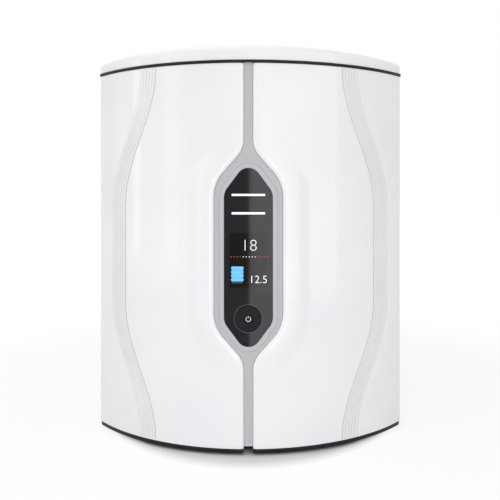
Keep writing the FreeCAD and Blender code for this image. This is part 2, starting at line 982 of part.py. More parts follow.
def accent_strip(side, name):
    """A raised strip that bends from the middle of the door's flank towards its ends."""
    top = float(door_top - s.strip_end_margin)
    bottom = float(door_bottom + s.strip_end_margin)
    upper = float(s.strip_upper_bend)
    lower = float(s.strip_lower_bend)
    middle = float(half_width - s.strip_side_distance)
    swing = float(s.strip_swing)
    half = float(s.strip_width) / 2

    def edge_curve(offset, bend, end):
        points = [
            Vector(
                side * (middle + offset - swing * strip_middle(share)),
                0,
                bend + (end - bend) * share,
            )
            for share in EASE_SHARES
        ]
        curve = Part.BSplineCurve()
        upright = Vector(0, 0, end - bend)
        curve.interpolate(Points=points, InitialTangent=upright, FinalTangent=upright)
        return curve.toShape()

    outer_top, outer_bottom = edge_curve(half, upper, top), edge_curve(half, lower, bottom)
    inner_top, inner_bottom = edge_curve(-half, upper, top), edge_curve(-half, lower, bottom)
    outer_x, inner_x = side * (middle + half), side * (middle - half)
    end_outer = side * (middle + half - swing)
    end_inner = side * (middle - half - swing)
    edges = [
        outer_top,
        Part.makeLine(Vector(end_outer, 0, top), Vector(end_inner, 0, top)),
        inner_top,
        Part.makeLine(Vector(inner_x, 0, upper), Vector(inner_x, 0, lower)),
        inner_bottom,
        Part.makeLine(Vector(end_inner, 0, bottom), Vector(end_outer, 0, bottom)),
        outer_bottom,
        Part.makeLine(Vector(outer_x, 0, lower), Vector(outer_x, 0, upper)),
    ]
    outline = Part.Face(Part.Wire(Part.__sortEdges__(edges)))
    outline.translate(Vector(0, float(door_front_y - s.cut_overrun), 0))
    blade = outline.extrude(Vector(0, float(s.front_radius / 2), 0))
    axis_foot = Vector(0, float(centre_y), 0)
    height = float(deck_bottom)
    skin = Part.makeCylinder(
        float(s.front_radius + s.strip_relief), height, axis_foot
    ).cut(Part.makeCylinder(float(s.front_radius), height, axis_foot))
    strip = doc.addObject("Part::Feature", name)
    strip.Shape = blade.common(skin).Solids[0]
    return node(strip, name)


def hexagon(width, top, bottom, slope, grow):
    """A tall hexagon with a point at each end, grown outwards."""
    half = width / 2 + grow
    rise = grow * root_of(slope * slope + 1) - slope * grow
    high = top + rise
    low = bottom - rise
    return [
        (as_size(0), high + slope * half),
        (half, high),
        (half, low),
        (as_size(0), low - slope * half),
        (-half, low),
        (-half, high),
    ]


def glass_hexagon(grow):
    return hexagon(s.glass_width, s.glass_top, s.glass_bottom, s.glass_slope, as_size(grow))


def hexagon_plate(name, grow, front, rear):
    """A plate between two depths with the rounded outline of the display."""
    body = new_body(name)
    sketch = front_sketch(body, front)
    points = glass_hexagon(grow)
    draw_loop(sketch, points)
    pad(body, sketch, as_size(rear) - front, reverse=True)
    for radius, numbers in (
        (s.glass_tip_radius, (0, 3)),
        (s.glass_side_radius, (1, 2, 4, 5)),
    ):
        corners = [(float(points[number][0]), float(points[number][1])) for number in numbers]
        round_edges(
            body,
            radius + grow,
            lambda edge: runs_along(edge, BACKWARDS)
            and any(
                math.hypot(edge.CenterOfMass.x - x, edge.CenterOfMass.z - z) < NEAR
                for x, z in corners
            ),
        )
    return body


def centre_column():
    """The grey column between the doors, which widens into the frame around the display."""
    body = new_body("centre_column_solid")
    flange = front_sketch(body, flange_front_y)
    flange_half = s.flange_width / 2
    draw_loop(
        flange,
        [
            (-flange_half, plinth_top),
            (flange_half, plinth_top),
            (flange_half, deck_bottom),
            (-flange_half, deck_bottom),
        ],
    )
    pad(body, flange, s.flange_thickness, reverse=True)
    outline = front_sketch(body, column_front_y)
    half, shoulders, necks = frame_outline(as_size(0))
    foot = door_bottom + s.column_lift
    right = [
        (column_half, deck_bottom),
        (column_half, necks[0]),
        (half, shoulders[0]),
        (half, shoulders[1]),
        (column_half, necks[1]),
        (column_half, foot),
    ]
    draw_loop(outline, right + [(-x, z) for x, z in reversed(right)])
    pad(body, outline, s.column_depth, reverse=True)
    for x, levels, radius in (
        (half, shoulders, s.frame_side_radius),
        (column_half, necks, s.frame_neck_radius),
    ):
        round_edges(
            body,
            radius,
            lambda edge: runs_along(edge, BACKWARDS)
            and any(passes(edge, x=way * x, z=level) for level in levels for way in (-1, 1)),
        )
    window = hexagon_plate(
        "column_window",
        s.bezel_width + s.seat_gap,
        column_front_y - s.cut_overrun,
        flange_rear_y + s.cut_overrun,
    )
    return node(cut("centre_column", body, window), "centre_column")


def display_bezel():
    """The pale ring between the frame and the glass."""
    ring = hexagon_plate("bezel_plate", s.bezel_width, bezel_front_y, bezel_rear_y)
    opening = hexagon_plate(
        "bezel_opening",
        s.seat_gap,
        bezel_front_y - s.cut_overrun,
        bezel_rear_y + s.cut_overrun,
    )
    return node(cut("display_bezel", ring, opening), "display_bezel")


def light_levels():
    return (s.upper_light_place, s.lower_light_place)


def bar_slot(name, level, margin, front, rear):
    """The room that a light bar takes, with a margin all round."""
    half = s.light_bar_width / 2 + margin
    low = level - s.light_bar_height / 2 - margin
    high = level + s.light_bar_height / 2 + margin
    return block(name, (-half, half), (front, rear), (low, high))


def display_glass():
    """The dark window, with slots for the light bars and a round hole for the dial."""
    sheet = hexagon_plate("glass_sheet", as_size(0), glass_front_y, glass_rear_y)
    through = (glass_front_y - s.cut_overrun, glass_rear_y + s.cut_overrun)
    holes = [
        bar_slot(f"glass_slot_{number}", level, s.seat_gap, *through)
        for number, level in enumerate(light_levels())
    ]
    holes.append(
        rod("dial_hole", "y", s.dial_radius + s.dial_gap, (as_size(0), s.dial_place), through)
    )
    return node(cut("display_glass", sheet, *holes), "display_glass")


def display_screen():
    """The screen module behind the glass."""
    half = s.screen_width / 2
    half_height = s.screen_height / 2
    screen = block(
        "display_screen",
        (-half, half),
        (glass_rear_y, board_front_y),
        (s.screen_middle - half_height, s.screen_middle + half_height),
    )
    return node(screen, "display_screen")


def light_bars():
    """Two light guides that stand in the glass and reach back to the board."""
    bars = [
        bar_slot(
            f"light_bar_{number}",
            level,
            as_size(0),
            glass_front_y - s.light_bar_rise,
            board_front_y,
        )
        for number, level in enumerate(light_levels())
    ]
    return node(grouped("light_bar_group", *bars), "light_bars")


def display_board():
    """The circuit board behind the screen, with a hole for the dial's shaft."""
    sheet = hexagon_plate("display_board_sheet", -s.seat_gap * 4, board_front_y, board_rear_y)
    hole = rod(
        "board_hole",
        "y",
        s.dial_shaft_radius + s.dial_gap,
        (as_size(0), s.dial_place),
        (board_front_y - s.cut_overrun, board_rear_y + s.cut_overrun),
    )
    return node(cut("display_board", sheet, hole), "display_board")


housing_rear_y = bezel_rear_y + s.housing_depth
encoder_front_y = board_rear_y
encoder_rear_y = encoder_front_y + s.encoder_depth


def display_housing():
    """The tray that closes the display from behind."""
    outside = hexagon_plate("housing_outside", s.bezel_width, bezel_rear_y, housing_rear_y)
    inside = hexagon_plate(
        "housing_inside",
        s.bezel_width - s.housing_wall,
        bezel_rear_y - s.cut_overrun,
        housing_rear_y - s.housing_wall,
    )
    return node(cut("display_housing", outside, inside), "display_housing")


def dial_encoder():
    """The encoder that reads the dial and holds the button's switch."""
    place = (as_size(0), s.dial_place)
    drum = rod("encoder_drum", "y", s.encoder_radius, place, (encoder_front_y, encoder_rear_y))
    bore = rod(
        "encoder_bore",
        "y",
        s.button_radius + s.dial_gap,
        place,
        (encoder_front_y - s.cut_overrun, encoder_front_y + s.encoder_bore_depth),
    )
    return node(cut("dial_encoder", drum, bore), "dial_encoder")


dial_front_y = glass_front_y - s.dial_rise
dial_bore = s.button_radius + s.dial_gap


def control_dial():
    """The rotary dial: a disc in the glass with a hollow shaft back to the encoder."""
    place = (as_size(0), s.dial_place)
    disc = rod(
        "dial_disc", "y", s.dial_radius, place, (dial_front_y, dial_front_y + s.dial_thickness)
    )
    shaft = rod(
        "dial_shaft",
        "y",
        s.dial_shaft_radius,
        place,
        (dial_front_y, encoder_front_y - s.dial_gap),
    )
    bore = rod(
        "dial_bore",
        "y",
        dial_bore,
        place,
        (dial_front_y - s.cut_overrun, encoder_front_y),
    )
    return node(cut("control_dial", fused("dial_solid", disc, shaft), bore), "control_dial")


def power_button():
    """The push button in the middle of the dial, with its stem in the encoder."""
    stem_end = encoder_front_y + s.encoder_bore_depth - s.button_travel - s.dial_gap
    button = rod(
        "power_button",
        "y",
        s.button_radius,
        (as_size(0), s.dial_place),
        (dial_front_y - s.button_rise, stem_end),
    )
    return node(button, "power_button")


def port_places():
    """Where the water ports go across the rear plate."""
    return [
        first_port,
        first_port + s.port_spacing,
        first_port + s.port_spacing * 2,
        s.product_port,
    ]


pack_tube_x = dock_inner + s.pack_tube_distance


def tube_passages():
    """Holes in the inner wall where tubes go through."""
    span = (s.bulkhead_place - s.cut_overrun, bulkhead_rear_y + s.cut_overrun)
    radius = s.tube_radius + s.seat_gap
    return [
        rod("pack_tube_hole", "y", radius, (pack_tube_x, pump_port_level), span),
        rod("product_tube_hole", "y", radius, (s.filter_x, s.crossing_height), span),
    ]


def bulkhead():
    """The upright wall that parts the service bay from the machine bay."""
    half = inner_half_width - s.seat_gap
    wall = block(
        "bulkhead_sheet",
        (-half, half),
        (s.bulkhead_place, bulkhead_rear_y),
        (plinth_top, deck_bottom),
    )
    return node(cut("bulkhead", wall, *tube_passages()), "bulkhead")


def dock(side, name):
    """A hollow dock that one purification pack stands on."""
    middle = side * dock_place
    half = dock_width / 2
    shell = block(
        name + "_block",
        (middle - half, middle + half),
        (dock_front, s.bulkhead_place),
        (plinth_top, s.dock_top),
    )
    inner = half - s.dock_wall
    room = block(
        name + "_room",
        (middle - inner, middle + inner),
        (dock_front + s.dock_wall, s.bulkhead_place - s.dock_wall),
        (plinth_top - s.cut_overrun, s.dock_top - s.dock_wall),
    )
    return node(cut(name, shell, room), name)


def nozzle_places():
    return [
        (side * dock_place + way * s.nozzle_spacing / 2, pack_place)
        for side in (-1, 1)
        for way in (-1, 1)
    ]


def dock_nozzles():
    """The four nozzles on which the packs seal."""
    nozzles = []
    for number, place in enumerate(nozzle_places()):
        span = (s.dock_top, s.dock_top + s.nozzle_height)
        body = rod(f"nozzle_{number}_body", "z", s.nozzle_radius, place, span)
        way = rod(f"nozzle_{number}_way", "z", s.nozzle_bore, place, span)
        nozzles.append(cut(f"nozzle_{number}", body, way))
    return node(grouped("nozzle_group", *nozzles), "dock_nozzles")


def purification_pack(side, name):
    """A tall resin pack with collars, a domed shoulder, a lifting knob and two sockets."""
    body = new_body(name)
    bottom = s.dock_top
    top = bottom + s.pack_height
    knob_bottom = top - s.pack_knob_height
    shoulder_top = knob_bottom - s.pack_neck_height
    shoulder_bottom = shoulder_top - s.pack_shoulder
    body_radius = pack_radius - s.pack_collar_relief
    collar_low = bottom + s.pack_collar
    collar_high = shoulder_bottom - s.pack_collar
    profile = front_sketch(body, as_size(0))
    draw_loop(
        profile,
        [
            (as_size(0), bottom),
            (pack_radius, bottom),
            (pack_radius, collar_low),
            (body_radius, collar_low),
            (body_radius, collar_high),
            (pack_radius, collar_high),
            (pack_radius, shoulder_bottom),
            (s.pack_neck_radius, shoulder_top),
            (s.pack_neck_radius, knob_bottom),
            (s.pack_knob_radius, knob_bottom),
            (s.pack_knob_radius, top),
            (as_size(0), top),
        ],
        {6: (pack_radius, -1)},
    )
    turned = body.newObject("PartDesign::Revolution", name + "_revolution")
    turned.Profile = profile
    turned.ReferenceAxis = (profile, ["V_Axis"])
    turned.Angle = 360
    sockets = level_sketch(body, bottom)
    for way in (-1, 1):
        draw_circle(
            sockets,
            s.nozzle_radius + s.socket_clearance,
            way * s.nozzle_spacing / 2,
            as_size(0),
        )
    pocket(body, sockets, s.nozzle_height + s.socket_clearance, reverse=True)
    move(body, side * dock_place, pack_place, as_size(0))
    return node(body, name)


lamp_place = (s.lamp_chamber_x, s.lamp_chamber_y)
chamber_bottom = plinth_top + s.lamp_cap_height
chamber_top = chamber_bottom + s.lamp_chamber_height


def lamp_chamber():
    """The steel tube in which water passes the lamp."""
    span = (chamber_bottom, chamber_top)
    outer = rod("chamber_outer", "z", s.lamp_chamber_radius, lamp_place, span)
    bore = s.lamp_chamber_radius - s.lamp_chamber_wall
    inner = rod("chamber_inner", "z", bore, lamp_place, span)
    return node(cut("uv_chamber", outer, inner), "uv_chamber")


def lamp_caps():
    """The caps that close the lamp chamber."""
    spans = (
        (plinth_top, chamber_bottom),
        (chamber_top, chamber_top + s.lamp_cap_height),
    )
    caps = [
        rod(f"lamp_cap_{number}", "z", s.lamp_cap_radius, lamp_place, span)
        for number, span in enumerate(spans)
    ]
    return node(grouped("lamp_cap_group", *caps), "uv_end_caps")


def lamp():
    """The ultraviolet lamp in its quartz sleeve."""
    item = rod("uv_lamp", "z", s.lamp_radius, lamp_place, (chamber_bottom, chamber_top))
    return node(item, "uv_lamp")


def clamps(name, place, radius):
    """Two saddles on the inner wall that hold an upright canister."""
    x, y = place
    half = radius + s.clamp_margin
    saddles = []
    for number, level in enumerate((s.lower_clamp_place, s.upper_clamp_place)):
        span = (level, level + s.clamp_height)
        saddle = block(f"{name}_block_{number}", (x - half, x + half), (y, s.bulkhead_place), span)
        seat = rod(f"{name}_seat_{number}", "z", radius, place, span)
        saddles.append(cut(f"{name}_{number}", saddle, seat))
    return node(grouped(name + "_group", *saddles), name)


filter_place = (s.filter_x, s.filter_y)
filter_top = s.filter_bottom + s.filter_height


def ultrafilter():
    """The ultrafilter cartridge with its end caps and nozzles."""
    low, high = s.filter_bottom, filter_top
    pieces = (
        (s.filter_radius, low, high),
        (s.filter_cap_radius, low, low + s.filter_cap_height),
        (s.filter_cap_radius, high - s.filter_cap_height, high),
        (
            s.filter_nozzle_radius,
            low - s.filter_nozzle_height,
            high + s.filter_nozzle_height,
        ),
    )
    rods = [
        rod(f"filter_piece_{number}", "z", radius, filter_place, (start, end))
        for number, (radius, start, end) in enumerate(pieces)
    ]
    return node(fused("ultrafilter", *rods), "ultrafilter")


pump_place = (pump_x, s.pump_y)
pump_bottom = plinth_top + s.pump_foot_height
pump_top = pump_bottom + s.pump_height
pump_port_level = pump_bottom + s.pump_height / 2
cover_top = pump_top + s.pump_cover_height
chamber_floor = pump_top - s.impeller_chamber


def pump_body():
    """The pump's square body with the round chamber of the impeller."""
    solid = block(
        "pump_block",
        (pump_x - pump_half, pump_x + pump_half),
        (s.pump_y - pump_half, s.pump_y + pump_half),
        (pump_bottom, pump_top),
    )
    room = rod(
        "pump_room",
        "z",
        s.impeller_radius + s.impeller_gap,
        pump_place,
        (chamber_floor, pump_top + s.cut_overrun),
    )
    return node(cut("pump_body", solid, room), "pump_body")


def pump_mounts():
    """Four rubber mounts under the pump."""
    reach = pump_half - s.pump_foot_inset
    feet = [
        rod(
            f"pump_foot_{number}",
            "z",
            s.pump_foot_radius,
            (pump_x + across * reach, s.pump_y + along * reach),
            (plinth_top, pump_bottom),
        )
        for number, (across, along) in enumerate(((-1, -1), (1, -1), (1, 1), (-1, 1)))
    ]
    return node(grouped("pump_mount_group", *feet), "pump_mounts")


def pump_impeller():
    """The impeller: a plate, its vanes and the shaft that it shares with the motor."""
    low = chamber_floor + s.impeller_gap
    high = pump_top - s.impeller_gap
    hub = rod(
        "impeller_shaft", "z", s.shaft_radius, pump_place, (low, pump_top + s.shaft_length)
    )
    plate = rod("impeller_plate", "z", s.impeller_radius, pump_place, (low, low + s.impeller_plate))
    count = int(s.impeller_vanes.value)
    vanes = []
    for number in range(count):
        vane = doc.addObject("Part::Box", f"vane_{number}")
        bind(vane, "Length", s.impeller_radius - s.impeller_gap)
        bind(vane, "Width", s.vane_thickness)
        bind(vane, "Height", high - low)
        vane.Placement.Rotation = Rotation(UP, 360 * number / count)
        move(vane, pump_x, s.pump_y, low)
        vanes.append(vane)
    return node(fused("pump_impeller", hub, plate, *vanes), "pump_impeller")


def shaft_bore(name, span):
    return rod(name, "z", s.shaft_radius + s.shaft_clearance, pump_place, span)


def pump_cover():
    """The plate between the pump and its motor."""
    plate = block(
        "pump_cover_plate",
        (pump_x - pump_half, pump_x + pump_half),
        (s.pump_y - pump_half, s.pump_y + pump_half),
        (pump_top, cover_top),
    )
    return node(cut("pump_cover", plate, shaft_bore("cover_bore", (pump_top, cover_top))), "pump_cover")


def pump_motor():
    """The pump's motor, with the bore that the shaft runs in."""
    can = rod(
        "motor_can", "z", s.motor_radius, pump_place, (cover_top, cover_top + s.motor_height)
    )
    bore = shaft_bore("motor_bore", (cover_top, pump_top + s.shaft_length + s.impeller_gap))
    return node(cut("pump_motor", can, bore), "pump_motor")


supply_top = s.supply_bottom + s.supply_height
ballast_bottom = supply_top + s.ballast_gap


def power_supply():
    """The power supply on the back of the inner wall."""
    item = block(
        "power_supply",
        (supply_left, supply_left + supply_width),
        (bulkhead_rear_y, bulkhead_rear_y + s.supply_depth),
        (s.supply_bottom, supply_top),
    )
    return node(item, "power_supply")


def lamp_ballast():
    """The lamp's ballast above the power supply."""
    middle = supply_left + supply_width / 2
    half = s.ballast_width / 2
    item = block(
        "uv_ballast",
        (middle - half, middle + half),
        (bulkhead_rear_y, bulkhead_rear_y + s.ballast_depth),
        (ballast_bottom, ballast_bottom + s.ballast_height),
    )
    return node(item, "uv_ballast")


board_y = bulkhead_rear_y + s.standoff_height
board_left = s.board_side_gap - inner_half_width
CHIP_COUNT = 3


def control_board():
    """The main circuit board with a row of evenly spaced chips."""
    top = s.board_bottom + s.board_height
    sheet_rear = board_y + s.board_sheet
    pieces = [
        block(
            "board_sheet_plate",
            (board_left, s.board_right),
            (board_y, sheet_rear),
            (s.board_bottom, top),
        )
    ]
    gap = (s.board_right - board_left - s.chip_size * CHIP_COUNT) / (CHIP_COUNT + 1)
    low = (s.board_bottom + top - s.chip_size) / 2
    for number in range(CHIP_COUNT):
        left = board_left + gap + (s.chip_size + gap) * number
        pieces.append(
            block(
                f"board_chip_{number}",
                (left, left + s.chip_size),
                (board_y, sheet_rear + s.chip_height),
                (low, low + s.chip_size),
            )
        )
    return node(fused("control_board", *pieces), "control_board")


def board_standoffs():
    """Four standoffs between the inner wall and the main board."""
    edge = s.board_inset
    xs = (board_left + edge, s.board_right - edge)
    zs = (s.board_bottom + edge, s.board_bottom + s.board_height - edge)
    posts = [
        rod(f"standoff_{number}", "y", s.standoff_radius, place, (bulkhead_rear_y, board_y))
        for number, place in enumerate((x, z) for x in xs for z in zs)
    ]
    return node(grouped("standoff_group", *posts), "board_standoffs")


manifold_y = bulkhead_rear_y + s.manifold_depth / 2
manifold_rear_y = bulkhead_rear_y + s.manifold_depth
manifold_top = s.manifold_bottom + s.manifold_height


def valve_manifold():
    """The block that the valves switch the water in."""
    item = block(
        "valve_manifold",
        (manifold_left, manifold_right),
        (bulkhead_rear_y, manifold_rear_y),
        (s.manifold_bottom, manifold_top),
    )
    return node(item, "valve_manifold")


def solenoid_coils():
    """Three coils, one for each valve."""
    middle = (manifold_left + manifold_right) / 2
    coils = [
        rod(
            f"coil_{number}",
            "z",
            s.coil_radius,
            (middle + s.coil_spacing * (number - 1), manifold_y),
            (manifold_top, manifold_top + s.coil_height),
        )
        for number in range(3)
    ]
    return node(grouped("coil_group", *coils), "solenoid_coils")


def leak_sensor():
    """The sensor on the plinth that notices spilt water."""
    item = rod(
        "leak_sensor",
        "z",
        s.leak_sensor_radius,
        (s.leak_sensor_x, s.leak_sensor_y),
        (plinth_top, plinth_top + s.leak_sensor_height),
    )
    return node(item, "leak_sensor")


port_end_y = rear_y + s.port_reach
shank_end_y = panel_front_y - s.port_shank_length


def rear_water_ports():
    """Four straight ports with a bore for the tube and a threaded shank through the rear plate."""
    ports = []
    for number, x in enumerate(port_places()):
        place = (x, s.port_height)
        label = f"port_{number}"
        body = fused(
            label + "_solid",
            rod(label + "_tail", "y", s.port_radius, place, (panel_rear_y, port_end_y)),
            rod(
                label + "_flange",
                "y",
                s.port_flange_radius,
                place,
                (panel_rear_y, panel_rear_y + s.port_flange_thickness),
            ),
            rod(label + "_shank", "y", s.port_shank_radius, place, (shank_end_y, panel_rear_y)),
        )
        seat = rod(
            label + "_seat",
            "y",
            s.port_bore,
            place,
            (port_end_y - s.port_bore_depth, port_end_y + s.cut_overrun),
        )
        way = rod(
            label + "_way",
            "y",
            s.port_way,
            place,
            (shank_end_y - s.cut_overrun, port_end_y - s.port_bore_depth + s.cut_overrun),
        )
        ports.append(cut(label, body, seat, way))
    return node(grouped("port_group", *ports), "rear_water_ports")


def port_nuts():
    """The nuts that hold the ports from inside."""
    nuts = []
    span = (panel_front_y - s.port_nut_thickness, panel_front_y)
    for number, x in enumerate(port_places()):
        place = (x, s.port_height)
        nut = doc.addObject("Part::Prism", f"port_nut_{number}_blank")
        nut.Polygon = 6
        bind(nut, "Circumradius", s.port_nut_radius)
        bind(nut, "Height", s.port_nut_thickness)
        nut.Placement.Rotation = TURNS["y"]
        move(nut, x, span[0], s.port_height)
        hole = rod(f"port_nut_{number}_hole", "y", s.port_shank_radius, place, span)
        nuts.append(cut(f"port_nut_{number}", nut, hole))
    return node(grouped("port_nut_group", *nuts), "port_nuts")


inlet_top = s.inlet_bottom + s.inlet_height
inlet_face_y = panel_rear_y + s.inlet_flange
inlet_front_y = panel_rear_y - s.inlet_depth
socket_left = inlet_left + s.inlet_border * 2
socket_right = socket_left + s.socket_width
socket_top = inlet_top - s.inlet_border * 2
socket_bottom = socket_top - s.socket_height
socket_floor_y = inlet_face_y - s.socket_depth
rocker_left = inlet_right - s.inlet_border * 2 - s.rocker_width
rocker_right = rocker_left + s.rocker_width
rocker_level = (socket_top + socket_bottom) / 2
rocker_pivot_y = inlet_face_y - s.rocker_depth / 2
drawer_top = socket_bottom - s.inlet_border / 2
drawer_bottom = drawer_top - s.drawer_height
drawer_front_y = inlet_face_y - s.drawer_length


def rocker_axle(name, clearance):
    """The axle of the rocker, or with a clearance the bore that it turns in."""
    reach = s.rocker_side_gap + s.rocker_axle_seat + clearance
    return rod(
        name,
        "x",
        s.rocker_axle_radius + clearance,
        (rocker_pivot_y, rocker_level),
        (rocker_left - reach, rocker_right + reach),
    )


def power_inlet():
    """The mains inlet with its socket, a recess for the rocker and a slot for the fuse drawer."""
    border = s.inlet_border
    flange = block(
        "inlet_flange_plate",
        (inlet_left, inlet_right),
        (panel_rear_y, inlet_face_y),
        (s.inlet_bottom, inlet_top),
    )
    case = block(
        "inlet_case",
        (inlet_left + border, inlet_right - border),
        (inlet_front_y, panel_rear_y),
        (s.inlet_bottom + border, inlet_top - border),
    )
    out_y = inlet_face_y + s.cut_overrun
    socket = block(
        "inlet_socket", (socket_left, socket_right), (socket_floor_y, out_y), (socket_bottom, socket_top)
    )
    half_height = s.rocker_height / 2 + s.rocker_end_gap
    recess = block(
        "rocker_recess",
        (rocker_left - s.rocker_side_gap, rocker_right + s.rocker_side_gap),
        (rocker_pivot_y - s.rocker_depth / 2 - s.rocker_end_gap, out_y),
        (rocker_level - half_height, rocker_level + half_height),
    )
    gap = s.drawer_gap
    slot = block(
        "drawer_slot",
        (socket_left - gap, socket_right + gap),
        (drawer_front_y, out_y),
        (drawer_bottom - gap, drawer_top + gap),
    )
    middle_x = (socket_left + socket_right) / 2
    middle_z = (socket_bottom + socket_top) / 2
    contacts = [
        block(
            f"inlet_contact_{number}",
            (
                middle_x + s.contact_spacing * across - s.contact_width / 2,
                middle_x + s.contact_spacing * across + s.contact_width / 2,
            ),
            (socket_floor_y, socket_floor_y + s.contact_length),
            (
                middle_z + s.contact_height * along - s.contact_height / 2,
                middle_z + s.contact_height * along + s.contact_height / 2,
            ),
        )
        for number, (across, along) in enumerate(((-1, -0.5), (0, 0.5), (1, -0.5)))
    ]
    bore = rocker_axle("rocker_bore", s.rocker_axle_clearance)
    hollow = cut("inlet_hollow", fused("inlet_solid", flange, case), socket, recess, slot, bore)
    return node(fused("power_inlet", hollow, *contacts), "power_inlet")


def power_switch():
    """The rocker, tilted to its off side, on its axle."""
    half_height = s.rocker_height / 2
    body = block(
        "rocker_body",
        (rocker_left, rocker_right),
        (rocker_pivot_y - s.rocker_depth / 2, rocker_pivot_y + s.rocker_depth / 2),
        (rocker_level - half_height, rocker_level + half_height),
    )
    level = fused("rocker_level_piece", body, rocker_axle("rocker_axle", as_size(0)))
    tilted = doc.addObject("Part::Feature", "power_switch")
    doc.recompute()
    shape = level.Shape.copy()
    shape.rotate(
        Vector(0, float(rocker_pivot_y), float(rocker_level)),
        Vector(1, 0, 0),
        -s.rocker_tilt.value,
    )
    tilted.Shape = shape
    return node(tilted, "power_switch")


def fuse_drawer():
    """The fuse drawer under the socket, with a lip to pull it by."""
    body = block(
        "drawer_body",
        (socket_left, socket_right),
        (drawer_front_y + s.drawer_gap, inlet_face_y + s.drawer_lip),
        (drawer_bottom, drawer_top),
    )
    return node(body, "fuse_drawer")


def tube(name, points, bend):
    """A tube along straight runs joined by round bends, each run along one axis."""
    places = [Vector(*[float(value) for value in point]) for point in points]
    radius = float(bend)
    edges = []
    start = places[0]
    for before, corner, after in zip(places, places[1:], places[2:]):
        into = (corner - before).normalize()
        out = (after - corner).normalize()
        bend_start = corner - into * radius
        bend_end = corner + out * radius
        centre = bend_start + out * radius
        middle = centre + (corner - centre).normalize() * radius
        edges.append(Part.makeLine(start, bend_start))
        edges.append(Part.Arc(bend_start, middle, bend_end).toShape())
        start = bend_end
    edges.append(Part.makeLine(start, places[-1]))
    path = Part.Wire(edges)
    first = (places[1] - places[0]).normalize()
    ring = Part.Wire(Part.makeCircle(float(s.tube_radius), places[0], first))
    item = doc.addObject("Part::Feature", name)
    item.Shape = path.makePipeShell([ring], True, False)
    section = math.pi * s.tube_radius.value**2
    print(f"{name}: volume over section times length {item.Shape.Volume / section / path.Length:.4f}")
    return node(item, name)


def riser(name, x):
    """A tube from a rear port up to the back of the manifold."""
    level = s.manifold_bottom + s.manifold_height / 2
    return tube(
        name,
        [
            (x, shank_end_y, s.port_height),
            (x, s.riser_place, s.port_height),
            (x, s.riser_place, level),
            (x, manifold_rear_y, level),
        ],
        s.wide_tube_bend,
    )


def pump_tube():
    """The tube from the manifold down to the pump."""
    x = manifold_right - s.pump_tube_distance
    return tube(
        "pump_tube",
        [
            (x, manifold_y, s.manifold_bottom),
            (x, manifold_y, pump_port_level),
            (pump_x - pump_half, manifold_y, pump_port_level),
        ],
        s.wide_tube_bend,
    )


def pack_tube():
    """The tube from the pump through the inner wall to the right dock."""
    return tube(
        "pack_tube",
        [
            (pump_x + pump_half, s.pack_tube_y, pump_port_level),
            (pack_tube_x, s.pack_tube_y, pump_port_level),
            (pack_tube_x, s.bulkhead_place, pump_port_level),
        ],
        s.tube_bend,
    )


def product_tube():
    """The tube from the ultrafilter over the inner wall and down to the product port."""
    return tube(
        "product_tube",
        [
            (s.filter_x, s.filter_y, filter_top + s.filter_nozzle_height),
            (s.filter_x, s.filter_y, s.crossing_height),
            (s.filter_x, s.product_riser_place, s.crossing_height),
            (s.filter_x, s.product_riser_place, s.port_height),
            (s.filter_x, shank_end_y, s.port_height),
        ],
        s.tube_bend,
    )


base_plinth()
rubber_feet()
top_deck()
top_cover()
side_panel(-1, "left_side_panel")
side_panel(1, "right_side_panel")
rear_panel()
rear_panel_screws()
pivot_pins()
door(-1, "left_door")
door(1, "right_door")
door_magnets(-1, "left_door_magnets")
door_magnets(1, "right_door_magnets")
strike_plates()
accent_strip(-1, "left_accent_strip")
accent_strip(1, "right_accent_strip")
centre_column()
display_bezel()
display_glass()
display_screen()
light_bars()
display_board()
display_housing()
dial_encoder()
control_dial()
power_button()
bulkhead()
dock(-1, "left_dock")
dock(1, "right_dock")
dock_nozzles()
purification_pack(-1, "left_purification_pack")
purification_pack(1, "right_purification_pack")
lamp_chamber()
lamp_caps()
lamp()
clamps("uv_clamps", lamp_place, s.lamp_chamber_radius)
ultrafilter()
clamps("ultrafilter_clamps", filter_place, s.filter_radius)
pump_body()
pump_mounts()
pump_impeller()
pump_cover()
pump_motor()
power_supply()
lamp_ballast()
control_board()
board_standoffs()
valve_manifold()
solenoid_coils()
leak_sensor()
rear_water_ports()
port_nuts()
power_inlet()
power_switch()
fuse_drawer()
riser("feed_tube", first_port)
riser("drain_tube", first_port + s.port_spacing)
pump_tube()
pack_tube()
product_tube()
doc.recompute()

for item in doc.Objects:
    if "Invalid" in item.State or "Error" in item.State:
        raise RuntimeError(f"{item.Label} failed to build")
for item in nodes:
    if item.Shape.isNull() or not item.Shape.isValid():
        raise RuntimeError(f"{item.Label} has no sound shape")

os.makedirs("parts", exist_ok=True)
for item in nodes:
    item.Shape.exportStep(f"parts/{item.Label}.step")
print(f"{len(nodes)} sub-parts written")
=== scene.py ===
# %% [markdown]
# A bench cabinet that makes ultrapure water
#
# The real object is a white, bowed cabinet. Two glossy doors meet at a grey column, and the column
# widens into a frame round a dark display. This lesson dresses the CAD model of it: the pieces that
# catch the eye are worked out again as fine numpy surfaces, and the others keep their CAD shape.

